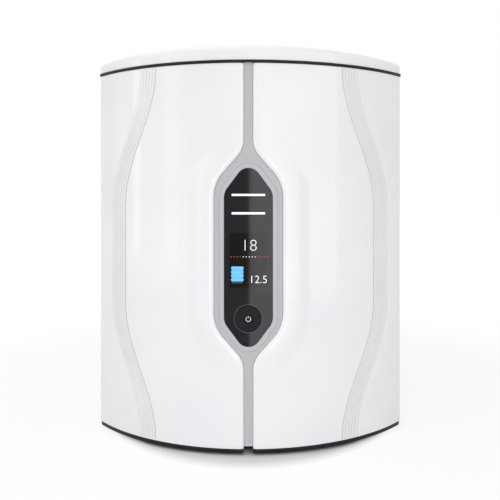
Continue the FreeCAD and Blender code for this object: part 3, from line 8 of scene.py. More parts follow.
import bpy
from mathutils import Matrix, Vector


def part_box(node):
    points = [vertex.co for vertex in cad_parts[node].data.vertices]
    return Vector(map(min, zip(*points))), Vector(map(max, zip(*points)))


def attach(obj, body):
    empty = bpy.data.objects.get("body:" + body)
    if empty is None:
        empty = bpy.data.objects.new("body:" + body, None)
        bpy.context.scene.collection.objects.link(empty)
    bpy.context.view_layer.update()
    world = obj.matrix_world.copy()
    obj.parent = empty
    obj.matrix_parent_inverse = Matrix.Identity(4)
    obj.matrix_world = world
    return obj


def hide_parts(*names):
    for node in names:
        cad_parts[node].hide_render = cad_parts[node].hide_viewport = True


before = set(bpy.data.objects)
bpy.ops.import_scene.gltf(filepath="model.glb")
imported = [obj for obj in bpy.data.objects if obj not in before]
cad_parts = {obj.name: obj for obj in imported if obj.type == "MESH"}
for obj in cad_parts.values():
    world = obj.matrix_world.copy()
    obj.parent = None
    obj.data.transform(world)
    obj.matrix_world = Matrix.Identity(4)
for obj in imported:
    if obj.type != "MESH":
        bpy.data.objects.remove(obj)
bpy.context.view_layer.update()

# %% [markdown]
# Millimetres are the natural unit of a cabinet like this one, so every size below is in
# millimetres. Blender's own unit is the metre, and only the last step of a piece turns one into the
# other. Places are read from the CAD nodes' boxes, so that nothing has to be fitted afterwards.

# %% Units and places
import math

import bmesh
import bpy
import numpy as np

MM = 0.001


def box(node):
    """A CAD node's lowest and highest corners, in millimetres."""
    low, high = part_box(node)
    return np.array(low) / MM, np.array(high) / MM


door_low, door_high = box("right_door")
column_low, column_high = box("centre_column")
cover_low, cover_high = box("top_cover")
bezel_low, bezel_high = box("display_bezel")
glass_low, glass_high = box("display_glass")
screen_low, screen_high = box("display_screen")
half_width = door_high[0]
door_bottom, door_top = door_low[2], door_high[2]
bow_radius = 240.0
bow_centre = door_low[1] + math.sqrt(bow_radius**2 - door_low[0] ** 2)
print("doors", door_bottom, "to", door_top, "mm high, bowed about y =", round(bow_centre, 2))

# %% [markdown]
# Most shapes here are grids: rows and columns of points that numpy works out at once. Two helpers
# turn a grid into a piece. The first lists the four corners of every square, and the second makes
# the mesh, merges what meets at a seam or a pole, points the faces outwards and keeps real edges
# crisp while the rest is shaded smooth.

# %% Grids and pieces
SMOOTH_ANGLE = math.radians(35)
MERGE = 0.002


def squares(rows, columns, round_rows=False, round_columns=False):
    """Corner numbers of a grid's squares; a round direction joins its last line to its first."""
    row = np.arange(rows if round_rows else rows - 1)
    column = np.arange(columns if round_columns else columns - 1)
    r, c = np.meshgrid(row, column, indexing="ij")
    below, beside = (r + 1) % rows, (c + 1) % columns
    corners = (r * columns + c, r * columns + beside, below * columns + beside, below * columns + c)
    return np.stack(corners, axis=-1).reshape(-1, 4)


def skin(grid, round_rows=False, round_columns=False):
    """A grid of points as a list of points and a list of squares."""
    rows, columns, _ = grid.shape
    return grid.reshape(-1, 3), squares(rows, columns, round_rows, round_columns)


def joined(*parts):
    """Several surfaces as one, each part's corner numbers moved past those before it."""
    starts = np.cumsum([0] + [len(points) for points, _ in parts[:-1]])
    faces = [corners + start for (_, corners), start in zip(parts, starts)]
    return np.vstack([points for points, _ in parts]), np.vstack(faces)


print("a grid of 3 by 4 points has", len(squares(3, 4)), "squares")

# %% [markdown]
# A surface becomes a piece when it has a mesh, a material and a body to ride on. Doubles are merged
# first, because a seam or a pole that stays open shows as a crease. Each piece prints how many
# faces it has.

# %% Pieces
def piece(name, surface, material, stands_for=(), body="cabinet"):
    """A finished object from a surface in millimetres, riding on its CAD body."""
    points, faces = surface
    mesh = bpy.data.meshes.new(name)
    mesh.from_pydata((points * MM).tolist(), [], faces.tolist())
    work = bmesh.new()
    work.from_mesh(mesh)
    bmesh.ops.remove_doubles(work, verts=work.verts, dist=MERGE * MM)
    bmesh.ops.dissolve_degenerate(work, edges=work.edges, dist=MERGE * MM / 2)
    bmesh.ops.recalc_face_normals(work, faces=work.faces)
    work.to_mesh(mesh)
    work.free()
    return settle(name, mesh, material, stands_for, body)


def in_scene(name, data):
    """A new object for a mesh, a light or a camera, linked to the scene."""
    item = bpy.data.objects.new(name, data)
    bpy.context.scene.collection.objects.link(item)
    return item


def settle(name, mesh, material, stands_for=(), body="cabinet"):
    """Put a mesh into the scene on its CAD body, shaded smooth between its real edges."""
    mesh.shade_smooth()
    mesh.set_sharp_from_angle(angle=SMOOTH_ANGLE)
    mesh.materials.append(material)
    item = in_scene(name, mesh)
    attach(item, body)
    if stands_for:
        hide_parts(*stands_for)
    print(f"{name}: {len(mesh.polygons)} faces on {body}")
    return item


print("points closer than", MERGE, "mm are merged")


# %% [markdown]
# Round pieces such as packs, caps and ports are turned on a lathe in the factory, or moulded in a
# tool that was. Here they are a profile carried round an axis. The profile is a list of radius and
# height, and a radius of zero closes the end. Grips get flutes, which are waves round the rim.

# %% Turned shapes
TURN_STEPS = 64


def turned(profile, place, axis="z", steps=TURN_STEPS, flutes=0, depth=0.0):
    """A profile of (radius, height) turned round an axis: each point goes round a circle of its
    radius, at its height along the axis. Flutes take away half their depth times one less the
    cosine of their number times the angle."""
    radius, height = np.array(profile, dtype=float).T
    angle = np.linspace(0, 2 * math.pi, steps, endpoint=False)
    wave = np.broadcast_to(depth, radius.shape)[:, None] * (1 - np.cos(flutes * angle)) / 2
    across = (radius[:, None] - wave) * np.cos(angle)
    along = (radius[:, None] - wave) * np.sin(angle)
    level = np.repeat(height[:, None], steps, axis=1)
    if axis == "z":
        grid = np.stack([place[0] + across, place[1] + along, level], axis=-1)
    else:
        grid = np.stack([place[0] + across, level, place[1] + along], axis=-1)
    return skin(grid, round_columns=True)


def ring(inner, outer, low, high, edge, place, axis="z", steps=TURN_STEPS, flutes=0, depth=0.0):
    """A closed ring with small chamfers at its outer rims, fluted there if asked."""
    loop = [(inner, low), (outer - edge, low), (outer, low + edge), (outer, high - edge)]
    loop += [(outer - edge, high), (inner, high), (inner, low)]
    depths = np.array([0, 1, 1, 1, 1, 0, 0]) * depth
    return turned(loop, place, axis, steps, flutes, depths)


print("turned shapes go round in", TURN_STEPS, "steps, unless a piece asks for its own number")


# %% [markdown]
# The display's frame is a tall hexagon with round corners, and the doors, the bezel and the glass
# all follow it. One helper rounds the corners of any outline with arcs that touch both sides. A
# second one measures how far a point is from an outline, which later shapes the doors' rolled rims.

# %% Rounded outlines
ARC_STEPS = 15


def circle(angle):
    """Points of a circle of radius 1, at angles from its first axis."""
    return np.stack([np.cos(angle), np.sin(angle)], axis=-1)


def rounded(corners, radii, closed=True):
    """An outline with arcs at its corners: an arc starts radius / tan(half the corner's angle)
    before the corner, and its points turn by equal angles."""
    corners = np.array(corners, dtype=float)
    count = len(corners)
    parts = []
    for number, (corner, radius) in enumerate(zip(corners, radii)):
        if radius == 0 or (not closed and number in (0, count - 1)):
            parts.append(corner[None])
            continue
        before = corners[number - 1] - corner
        after = corners[(number + 1) % count] - corner
        before /= np.linalg.norm(before)
        after /= np.linalg.norm(after)
        half = math.acos(float(before @ after)) / 2
        middle = (before + after) / np.linalg.norm(before + after)
        centre = corner + middle * radius / math.sin(half)
        start = corner + before * radius / math.tan(half) - centre
        turn = math.copysign(math.pi - 2 * half, before[1] * after[0] - before[0] * after[1])
        angle = math.atan2(start[1], start[0]) + np.linspace(0, turn, ARC_STEPS)
        parts.append(centre + radius * circle(angle))
    return np.vstack(parts)


def distance(x, z, outline):
    """How far each point is from an open outline: the least distance to any of its straight bits,
    where the nearest point is the foot of the perpendicular, held between the bit's ends."""
    start, way = outline[:-1], np.diff(outline, axis=0)
    gap_x = x[..., None] - start[:, 0]
    gap_z = z[..., None] - start[:, 1]
    share = (gap_x * way[:, 0] + gap_z * way[:, 1]) / (way**2).sum(axis=1)
    share = np.clip(share, 0, 1)
    return np.hypot(gap_x - share * way[:, 0], gap_z - share * way[:, 1]).min(axis=-1)


print("each round corner has", ARC_STEPS, "points")


# %% [markdown]
# A colour is easiest to choose as an sRGB hex value, as on a paint chart, and Blender calculates
# with linear light. One function turns the first into the second. One more adds any shader node,
# with its settings and its links, so that a material reads as a short list.

# %% Colours and nodes
def linear(code):
    """An sRGB hex colour as linear red, green, blue and alpha."""
    shares = [int(code[i : i + 2], 16) / 255 for i in (1, 3, 5)]
    return tuple(s / 12.92 if s <= 0.04045 else ((s + 0.055) / 1.055) ** 2.4 for s in shares) + (1,)


def add(tree, kind, inputs=(), **settings):
    """One shader node: its settings, then a value or a link for each of its inputs, given in order
    or by name. A node given as an input stands for its first output."""
    node = tree.nodes.new("ShaderNode" + kind)
    for key, value in settings.items():
        setattr(node, key, value)
    for key, value in inputs.items() if isinstance(inputs, dict) else enumerate(inputs):
        if isinstance(value, bpy.types.Node):
            value = value.outputs[0]
        if isinstance(value, bpy.types.NodeSocket):
            tree.links.new(value, node.inputs[key])
        else:
            node.inputs[key].default_value = value
    return node


def empty_tree(owner):
    """The nodes of a material or a world, cleared."""
    owner.use_nodes = True
    owner.node_tree.nodes.clear()
    return owner.node_tree


def start_material(name, **constants):
    """An empty material with one Principled shader, whose constants are set on its sockets."""
    material = bpy.data.materials.new(name)
    tree = empty_tree(material)
    sockets = {key.replace("_", " "): value for key, value in constants.items()}
    shader = add(tree, "BsdfPrincipled", sockets)
    add(tree, "OutputMaterial", {"Surface": shader})
    return material, tree, shader, add(tree, "TexCoord").outputs["Object"]


print("the paint chart's mid grey is", round(linear("#808080")[0], 3), "in linear light")


# %% [markdown]
# No real surface has one flat colour or one even gloss. Two recipes give every material its life.
# In the first, the colour wanders between two close ones over blotches of a given size. In the
# second, a fine grain changes the gloss and tilts the surface a little, as the texture of a mould,
# a coat of powder or the marks of a brush do. A finish is both of them together.

# %% Wandering colour and grain
NOISE_LOW, NOISE_HIGH = 0.3, 0.7
BLOTCH_DETAIL, GRAIN_DETAIL = 2.0, 3.0
BUMP_STRENGTH = 0.5


def wandering(tree, place, size, dark, light):
    """A colour between two: noise with blotches of a size in millimetres, stretched to its full
    range and used as the share of the second colour."""
    pattern = {"Vector": place, "Scale": 1 / (size * MM), "Detail": BLOTCH_DETAIL}
    blotches = add(tree, "TexNoise", pattern).outputs["Fac"]
    share = add(tree, "MapRange", (blotches, NOISE_LOW, NOISE_HIGH))
    colors = {0: share, 6: linear(dark), 7: linear(light)}
    return add(tree, "Mix", colors, data_type="RGBA").outputs[2]


def grained(tree, shader, place, size, roughness, spread=0.06, depth=0.02):
    """A grain of a size in millimetres: its noise moves the roughness by the spread either way and
    is the height of a bump of the given depth in millimetres."""
    pattern = {"Vector": place, "Scale": 1 / (size * MM), "Detail": GRAIN_DETAIL}
    grain = add(tree, "TexNoise", pattern).outputs["Fac"]
    limits = (grain, NOISE_LOW, NOISE_HIGH, roughness - spread, roughness + spread)
    tree.links.new(add(tree, "MapRange", limits).outputs[0], shader.inputs["Roughness"])
    bump = {"Height": grain, "Distance": depth * MM, "Strength": BUMP_STRENGTH}
    tree.links.new(add(tree, "Bump", bump).outputs[0], shader.inputs["Normal"])


def finish(
    name, dark, light, blotch, grain, roughness, spread=0.06, depth=0.02, stretch=None, **constants
):
    """A whole material: a colour that wanders over blotches, and a gloss that follows a grain. A
    stretch draws both out along an axis, as a brush does."""
    material, tree, shader, place = start_material(name, **constants)
    if stretch:
        place = add(tree, "Mapping", {"Vector": place, "Scale": stretch})
    tree.links.new(wandering(tree, place, blotch, dark, light), shader.inputs["Base Color"])
    grained(tree, shader, place, grain, roughness, spread, depth)
    return material


print("noise from", NOISE_LOW, "to", NOISE_HIGH, "is stretched to the whole range")

# %% [markdown]
# Gloss white ABS: the doors and the cover are injection moulded in a polished tool and get a clear
# coat. The eye sees a clean white with sharp, faint reflections, and a very slight wave in them,
# because lacquer shrinks a little as it dries.
#
# Powder coated steel: the side panels and the rear panel are bent sheet, coated with powder that
# melts in an oven. It dries to an even pebble, which breaks reflections up and makes the panels
# duller than the doors. The real pebble is finer and would not show, so it is drawn 0.8 mm wide.

# %% Gloss white ABS and powder coated steel
door_white = finish("gloss white ABS", "#F5F6F8", "#F9FAFB", 90, 9, 0.06, 0.015, 0.003, IOR=1.5)
panel_white = finish("powder coated steel", "#EBECEE", "#EFF0F2", 60, 0.8, 0.4, depth=0.03, IOR=1.5)
print("made", door_white.name, "and", panel_white.name)

# %% [markdown]
# Plastics and rubber share one recipe: a moulded surface with a fine spark-eroded grain, a colour
# that wanders slightly, and a roughness that follows the grain. What differs is the colour, how
# fine the grain is, and how dull it leaves the surface. The natural polypropylene of the water
# parts lets some light in, so its shadows are soft and milky.

# %% Moulded plastics and rubber
MOULD_BLOTCH = 25
MILKY = {"Subsurface_Weight": 0.25, "Subsurface_Radius": (0.004, 0.004, 0.004)}


def moulded(name, dark, light, grain, roughness, depth=0.02, **constants):
    """A moulded plastic: two close colours, a grain in millimetres and a middle roughness."""
    return finish(name, dark, light, MOULD_BLOTCH, grain, roughness, depth=depth, **constants)


dark_trim = moulded(
    "dark satin polycarbonate", "#101114", "#16171A", 0.8, 0.36, Specular_IOR_Level=0.25
)
black_abs = moulded("black grained ABS", "#17181B", "#1E1F22", 0.9, 0.5)
rubber = moulded("black EPDM rubber", "#121213", "#1A1A1B", 1.2, 0.75, 0.04)
grey_abs = moulded("grey moulded ABS", "#8B9098", "#959AA1", 0.9, 0.42)
pale_abs = moulded("pale grey moulded ABS", "#C4C8CD", "#CDD1D5", 0.9, 0.4)
polypropylene = moulded("natural polypropylene", "#DADDDB", "#E4E6E4", 1.4, 0.36, **MILKY)
label_film = moulded("pale blue label film", "#A9C4D8", "#B3CCDE", 2.0, 0.28, 0.004)
blue_cap = moulded("blue moulded ABS", "#3E6F96", "#487AA1", 0.9, 0.38)
blue_polyethylene = moulded("blue polyethylene tube", "#2F6DB5", "#3A78BE", 1.0, 0.3)
brass = moulded("turned brass", "#B98F45", "#C69C50", 0.5, 0.3, 0.01, Metallic=1.0)
motor_paint = moulded("black stove enamel", "#25262A", "#2E2F33", 0.7, 0.3, Metallic=0.3)
ring_ink = moulded("grey screen ink", "#3A3B41", "#424349", 0.6, 0.4, 0.003)
print("made the moulded plastics")

# %% [markdown]
# The column and the frame round the display are aluminium castings with a satin grey lacquer. Fine
# flakes in the lacquer, of a few tenths of a millimetre, give it a quiet sparkle up close and a
# soft, even grey from further away.

# %% Satin grey lacquer
frame_grey = finish("satin grey lacquer", "#BFC0C2", "#C6C7C9", 0.6, 0.6, 0.46, 0.05, 0.004,
                    IOR=1.5, Specular_IOR_Level=0.25)
bezel_grey = finish("pale grey lacquer", "#C0C1C4", "#C7C8CB", 0.6, 0.6, 0.44, 0.05, 0.004,
                    IOR=1.5, Specular_IOR_Level=0.3)
print("made the lacquers")

# %% [markdown]
# Metals inside the cabinet: the lamp chamber is brushed stainless steel, the power supply sits in
# a folded aluminium case and the screws are zinc plated. Brushing leaves fine scratches along one
# way, so the noise is stretched along it.

# %% Brushed and plated metals
SCRATCH_DEPTH = 0.003


def brushed_metal(name, dark, light, roughness, stretch, scratch):
    """A brushed metal: noise of a scratch's width, stretched along the brushing."""
    return finish(name, dark, light, scratch, scratch, roughness, depth=SCRATCH_DEPTH,
                  stretch=stretch, Metallic=1.0)


chamber_steel = brushed_metal("brushed stainless steel", "#BFC0C2", "#C9CACB", 0.3, (1, 1, 30), 9)
zinc = brushed_metal("zinc plated steel", "#A9ACB0", "#C2C4C7", 0.32, (1, 1, 1), 1.2)
sheet_aluminium = brushed_metal("folded aluminium", "#C2C4C6", "#CDCED0", 0.34, (1, 20, 20), 12)
print("made the metals")

# %% [markdown]
# The smoked glass of the display is printed black from behind, so the eye meets a deep, near-black
# gloss with the dark window of the screen in it. The glass reflects little, because it carries a
# thin anti-glare coat, and so its specular level is low.

# %% Printed glass
GLASS_SPECULAR = 0.145
WINDOW_SOFT = 0.2


def printed_glass():
    """Near-black gloss, darker where the screen's window is: the distance from the window's middle
    is compared with its half width and half height, in the object's own metres."""
    material, tree, shader, place = start_material(
        "printed smoked glass", IOR=1.5, Specular_IOR_Level=GLASS_SPECULAR
    )
    axes = add(tree, "SeparateXYZ", (place,)).outputs
    middle = (screen_low + screen_high) / 2 * MM
    half = (screen_high - screen_low) / 2 * MM
    soft = WINDOW_SOFT * MM
    window = 1.0
    for axis in (0, 2):
        away = add(tree, "Math", (axes[axis], middle[axis]), operation="SUBTRACT")
        size = add(tree, "Math", (away,), operation="ABSOLUTE")
        inside = add(tree, "MapRange", (size, half[axis] - soft, half[axis] + soft, 1, 0))
        window = add(tree, "Math", (inside, window), operation="MULTIPLY")
    colors = {0: window, 6: wandering(tree, place, 40, "#1B1B20", "#1E1E23"), 7: linear("#050507")}
    color = add(tree, "Mix", colors, data_type="RGBA").outputs[2]
    tree.links.new(color, shader.inputs["Base Color"])
    grained(tree, shader, place, 12, 0.05, 0.01, 0.0005)
    return material


smoked_glass = printed_glass()
print("made", smoked_glass.name)

# %% [markdown]
# The lamp sits in a sleeve of fused quartz, which is clear and slightly bluish. The circuit boards
# are glass fibre under a green solder mask, whose copper tracks show through as paler lines about
# half a millimetre wide.

# %% Fused quartz and solder mask
def solder_mask():
    """Green lacquer over tracks: the mortar of a brick pattern is the pattern of the tracks."""
    material, tree, shader, place = start_material("green solder mask", Coat_Weight=0.4)
    flat = add(tree, "Mapping", {"Vector": place, "Rotation": (math.pi / 2, 0, 0)})
    bricks = {"Vector": flat, "Color1": linear("#0F5A34"), "Color2": linear("#12633A")}
    bricks.update({"Mortar": linear("#2F8A58"), "Mortar Size": 0.25 * MM, "Scale": 1.0})
    bricks.update({"Brick Width": 9 * MM, "Row Height": 3 * MM})
    tree.links.new(add(tree, "TexBrick", bricks).outputs["Color"], shader.inputs["Base Color"])
    grained(tree, shader, place, 1.5, 0.3, 0.05, 0.01)
    return material


quartz = finish("fused quartz", "#E3ECF2", "#F0F5F8", 30, 6, 0.08, 0.03, 0.002, IOR=1.46,
                Transmission_Weight=0.85)
clear_tube = moulded("clear polycarbonate tube", "#DCE4E8", "#E8EEF1", 3, 0.12, 0.003, Alpha=0.3)
foil_label = moulded("satin foil label", "#BFC2C6", "#C9CCCF", 1.2, 0.34, 0.003, Metallic=0.7)
board_green = solder_mask()
print("made", quartz.name, "and", board_green.name)

# %% [markdown]
# What shines on the display is light from behind: the light bars are clear rods lit by diodes, and
# the figures and bars are lit by the screen. Each is a coloured surface with its own emission, and
# the colour of the light wanders a little, as it does in a moulded guide.

# %% Lit surfaces
UNLIT_SHARE = 0.4


def lit(name, dark, light, strength):
    """A glowing surface: the colour of its light wanders between two close ones, over a darker
    colour of its own."""
    unlit = tuple(c * UNLIT_SHARE for c in linear(light)[:3]) + (1,)
    constants = {"Emission_Strength": strength, "Base_Color": unlit}
    material, tree, shader, place = start_material(name, **constants)
    tree.links.new(wandering(tree, place, 3, dark, light), shader.inputs["Emission Color"])
    grained(tree, shader, place, 2, 0.35, 0.05, 0.002)
    return material


bar_light = lit("lit acrylic guide", "#FAFAFC", "#FFFFFF", 1.0)
white_figure = lit("white screen light", "#E9EBEE", "#F4F6F8", 0.95)
blue_figure = lit("blue screen light", "#5CB7EE", "#6CC3F5", 0.75)
blue_shade = lit("shaded blue screen light", "#3E93CC", "#479DD6", 0.7)
deep_blue_figure = lit("deep blue screen light", "#14334F", "#173B5C", 0.7)
red_figure = lit("red screen light", "#C22A2E", "#D23236", 0.85)
icon_light = lit("pale icon light", "#C4C7D1", "#D0D3DD", 0.75)
print("made the lit surfaces")

# %% [markdown]
# The doors
#
# Each door is one moulding. It follows the cabinet's bow, wraps round the side on a small corner,
# and swells towards the display, where it ends in a rolled rim. A plain extrusion can't do that, so
# the surface is a grid whose rows are levels and whose columns run from the opening's edge to the
# side. The rim depends on the true distance to the opening, which keeps its width even round the
# hexagon's corners.

# %% The opening between the doors
FRAME_TOP, FRAME_BOTTOM = 297.7, 140.8
FRAME_SLOPE = 1.14
FRAME_SIDE_RADIUS, FRAME_NECK_RADIUS = 42.0, 28.0
DOOR_REVEAL = 0.25
frame_half = 37.9 - DOOR_REVEAL
column_half = door_low[0] - DOOR_REVEAL
column_front = column_low[1]
flange_rear = column_high[1]
FLANGE_THICKNESS = 3.0
flange_front = flange_rear - FLANGE_THICKNESS


def frame_edge(grow, low, high):
    """The right edge of the frame and column from top to bottom, grown outwards: straight down the
    column, out along a slope, down the frame's side and back in."""
    rise = grow * (math.hypot(FRAME_SLOPE, 1) - FRAME_SLOPE)
    top, bottom = FRAME_TOP + rise, FRAME_BOTTOM - rise
    fall = FRAME_SLOPE * (frame_half - column_half)
    thin, wide = column_half + grow, frame_half + grow
    corners = [
        (thin, high),
        (thin, top + fall),
        (wide, top),
        (wide, bottom),
        (thin, bottom - fall),
        (thin, low),
    ]
    neck, side = FRAME_NECK_RADIUS, FRAME_SIDE_RADIUS
    return rounded(corners, (0, neck, side, side, neck, 0), closed=False)


opening = frame_edge(DOOR_REVEAL, door_bottom, door_top)
print("the opening's half width runs from", opening[:, 0].min(), "to", opening[:, 0].max())

# %% [markdown]
# The door's section is a closed loop: along the outside from the rolled rim to the end of the
# side, and back along the inside. Above and below, the outer line steps inwards over a quarter
# circle, so the door's ends are soft and catch a bright line of light.

# %% The door's shape
DOOR_WALL = 3.0
RIM_WIDTH, RIM_DEPTH = 5.0, 2.4
SWELL_FRONT = -169.3
SWELL_NEAR, SWELL_FAR = 7.0, 32.0
NECK_REACH = 118
DOOR_END_RADIUS = 0.9
CORNER_RADIUS = 8.0
SIDE_DEPTH, SIDE_STEPS = 17.0, (4.0, 9.0)
ROW_STEP = 1.6
RIM_SHARES = np.array([0, 0.01, 0.05, 0.12, 0.22, 0.34, 0.48, 0.63, 0.8, 1.0])
NEAR_OFFSETS = np.concatenate([RIM_SHARES * RIM_WIDTH, RIM_WIDTH + np.linspace(1.2, 27, 16)])
FAR_COLUMNS = 44
pivot_x = half_width - CORNER_RADIUS
pivot_reach = bow_radius - CORNER_RADIUS
pivot_y = bow_centre - math.sqrt(pivot_reach**2 - pivot_x**2)
side_end = bow_centre - math.sqrt(bow_radius**2 - half_width**2) + SIDE_DEPTH
print("the door's corner turns about", round(pivot_x, 2), round(pivot_y, 2))

# %% [markdown]
# Three helpers come first: the bow itself, a smooth step between two regions, and the levels of the
# rows. The rows crowd together at both ends, where the surface turns over.

# %% Bow, smooth step and rows
def bow(x, radius):
    """The depth of a circle about the bow's centre, seen at a place across the front."""
    return bow_centre - np.sqrt(radius**2 - x**2)


def ease(value):
    """A smooth step: three times the square less twice the cube, held between 0 and 1."""
    value = np.clip(value, 0, 1)
    return value * value * (3 - 2 * value)


def door_rows():
    """Levels of the rows with how far each steps inwards: quarter circles at both ends."""
    turn = np.linspace(0, math.pi / 2, 6)
    step_in = DOOR_END_RADIUS * (1 - np.sin(turn))
    rise = DOOR_END_RADIUS * (1 - np.cos(turn))
    low, high = door_bottom + rise, door_top - rise[::-1]
    count = int((high[0] - low[-1]) / ROW_STEP)
    levels = np.concatenate([low, np.linspace(low[-1], high[0], count)[1:-1], high])
    return levels, np.concatenate([step_in, np.zeros(count - 2), step_in[::-1]])


print("the door has", len(door_rows()[0]), "rows")

# %% [markdown]
# At the side the section turns a small corner and runs straight back. The inner wall is the same
# line a wall further in, so the wall keeps its thickness round the corner, as a moulded shell's
# does.

# %% The corner and the side
def door_wrap(wall):
    """The corner and the side of the section, a wall further in, and the way inwards at each of its
    points. The outer one ends in a quarter circle."""
    arc = circle(np.linspace(math.atan2(pivot_y - bow_centre, pivot_x), 0, 9))
    corner = np.array([pivot_x, pivot_y]) + arc * (CORNER_RADIUS - wall)
    side = np.array([[half_width - wall, pivot_y + step] for step in SIDE_STEPS])
    turn = np.linspace(0, math.pi / 2, 5)
    size = DOOR_END_RADIUS if wall == 0 else 0.0
    end_x = half_width - wall - size * (1 - np.cos(turn))
    end = np.column_stack([end_x, side_end - size * (1 - np.sin(turn))])
    inwards = np.vstack([-arc, np.tile([-1.0, 0.0], (len(side) + len(end), 1))])
    return np.vstack([corner, side, end]), inwards


def at_levels(loops, levels):
    """Flat loops of (x, y), each lifted to its own level."""
    level = np.repeat(levels[:, None, None], loops.shape[1], axis=1)
    return np.concatenate([loops, level], axis=-1)


print("its corner and side have", len(door_wrap(0)[0]), "points")

# %% [markdown]
# Now the whole section: front, corner, side, and back along the inside. The front could be sculpted
# by hand, but a formula of the distance to the frame swells it evenly at every level.

# %% The door's skin
def door_shell():
    """The right door. A point of the front lies on the bow, is drawn forwards to a level face near
    the frame (weight 1 within SWELL_NEAR, 0 past SWELL_FAR), and sinks over the rolled rim by a
    quarter ellipse of RIM_WIDTH and RIM_DEPTH."""
    levels, step_in = door_rows()
    order = np.argsort(opening[:, 1])
    edge = np.interp(levels, opening[order, 1], opening[order, 0])
    corner_start = pivot_x + CORNER_RADIUS * pivot_x / pivot_reach
    rest = np.linspace(0, 1, FAR_COLUMNS + 1)[1:]
    start = edge[:, None] + NEAR_OFFSETS[-1]
    x = np.hstack([edge[:, None] + NEAR_OFFSETS, start + (corner_start - start) * rest])
    z = np.repeat(levels[:, None], x.shape[1], axis=1)
    necks = np.abs(opening[:, 1] - (FRAME_TOP + FRAME_BOTTOM) / 2) < NECK_REACH
    to_frame = distance(x, z, opening[necks])
    to_edge = distance(x, z, opening)
    base = bow(x, bow_radius)
    weight = 1 - ease((to_frame - SWELL_NEAR) / (SWELL_FAR - SWELL_NEAR))
    y = base + weight * np.minimum(SWELL_FRONT - base, 0)
    rim = np.clip(1 - to_edge / RIM_WIDTH, 0, 1)
    y = y + RIM_DEPTH * (1 - np.sqrt(1 - rim**2))
    inwards = np.stack([-x, bow_centre - base], axis=-1) / bow_radius
    wrap, wrap_in = door_wrap(0)
    inner_wrap, _ = door_wrap(DOOR_WALL)
    rows = len(levels)
    plan = np.concatenate([np.stack([x, y], axis=-1), np.tile(wrap[1:], (rows, 1, 1))], axis=1)
    ways = np.concatenate([inwards, np.tile(wrap_in[1:], (rows, 1, 1))], axis=1)
    outer = plan + ways * step_in[:, None, None]
    inner_x = np.minimum(x, inner_wrap[0, 0])
    inner = np.stack([inner_x, bow(inner_x, bow_radius - DOOR_WALL)], axis=-1)
    inner = np.concatenate([inner, np.tile(inner_wrap[1:], (rows, 1, 1))], axis=1)
    return at_levels(np.concatenate([outer, inner[:, ::-1]], axis=1), levels)


door_grid = door_shell()
print("the section has", door_grid.shape[1], "points")

# %% [markdown]
# The skin is a stack of loops, a tube that is open above and below. Sewing its end loops shut from
# side to side closes it without a new point. The left door is the mirror image of the right one.

# %% Closed and mirrored
def capped(grid):
    """A closed tube of loops whose ends are sewn shut from side to side."""
    rows, columns, _ = grid.shape
    half = columns // 2
    near = np.arange(half - 1)
    lid = np.stack([near, near + 1, columns - 2 - near, columns - 1 - near], axis=-1)
    walls = squares(rows, columns, round_columns=True)
    faces = np.vstack([walls, lid[:, ::-1], lid + (rows - 1) * columns])
    return grid.reshape(-1, 3), faces


def mirrored(surface):
    """The same surface on the other side of the cabinet."""
    points, faces = surface
    return points * np.array([-1.0, 1.0, 1.0]), faces[:, ::-1]


def both_sides(name, surface, material, body, stands_for=None):
    """A piece on the right, and its mirror image on the left."""
    pair = []
    for side, shape in (("right", surface), ("left", mirrored(surface))):
        nodes = (f"{side}_{stands_for}",) if stands_for else ()
        pair.append(piece(f"{side}_{name}", shape, material, nodes, f"{side}_{body}"))
    return pair


shell = capped(door_grid)
print("the door's front lies at", shell[0][:, 1].min(), "mm")

# %% [markdown]
# Behind its face each door has two lugs that turn on pins in the cabinet's corner, and two bosses
# that carry the magnets. They show when the door is open. A lug is a ring: a square profile carried
# round the pin.

# %% The door's lugs and bosses
PIN_HOLE, LUG_HEIGHT, LUG_GAP, LUG_EDGE = 2.55, 12.0, 1.8, 0.5
LUG_RADIUS = CORNER_RADIUS - DOOR_WALL / 2
BOSS_RADIUS, BOSS_EDGE = 7.0, 0.6
SMALL_STEPS = 40
magnet_low, magnet_high = box("right_door_magnets")
magnet_x = (magnet_low[0] + magnet_high[0]) / 2
magnet_radius = (magnet_high[0] - magnet_low[0]) / 2
magnet_levels = (magnet_low[2] + magnet_radius, magnet_high[2] - magnet_radius)


def boss(level):
    """A boss from within the door's wall back to the magnet, with a small edge there."""
    rear = magnet_low[1]
    front = bow(magnet_x, bow_radius - DOOR_WALL) - DOOR_WALL / 3
    loop = [(0, front), (BOSS_RADIUS, front), (BOSS_RADIUS, rear - BOSS_EDGE)]
    loop += [(BOSS_RADIUS - BOSS_EDGE, rear), (0, rear)]
    return turned(loop, (magnet_x, level), axis="y", steps=SMALL_STEPS)


pin_place = (pivot_x, pivot_y)
lugs = [
    ring(PIN_HOLE, LUG_RADIUS, low, low + LUG_HEIGHT, LUG_EDGE, pin_place, steps=SMALL_STEPS)
    for low in (door_bottom + LUG_GAP, door_top - LUG_GAP - LUG_HEIGHT)
]
door_surface = joined(shell, *lugs, *[boss(level) for level in magnet_levels])
both_sides("door_moulding", door_surface, door_white, "door", "door")
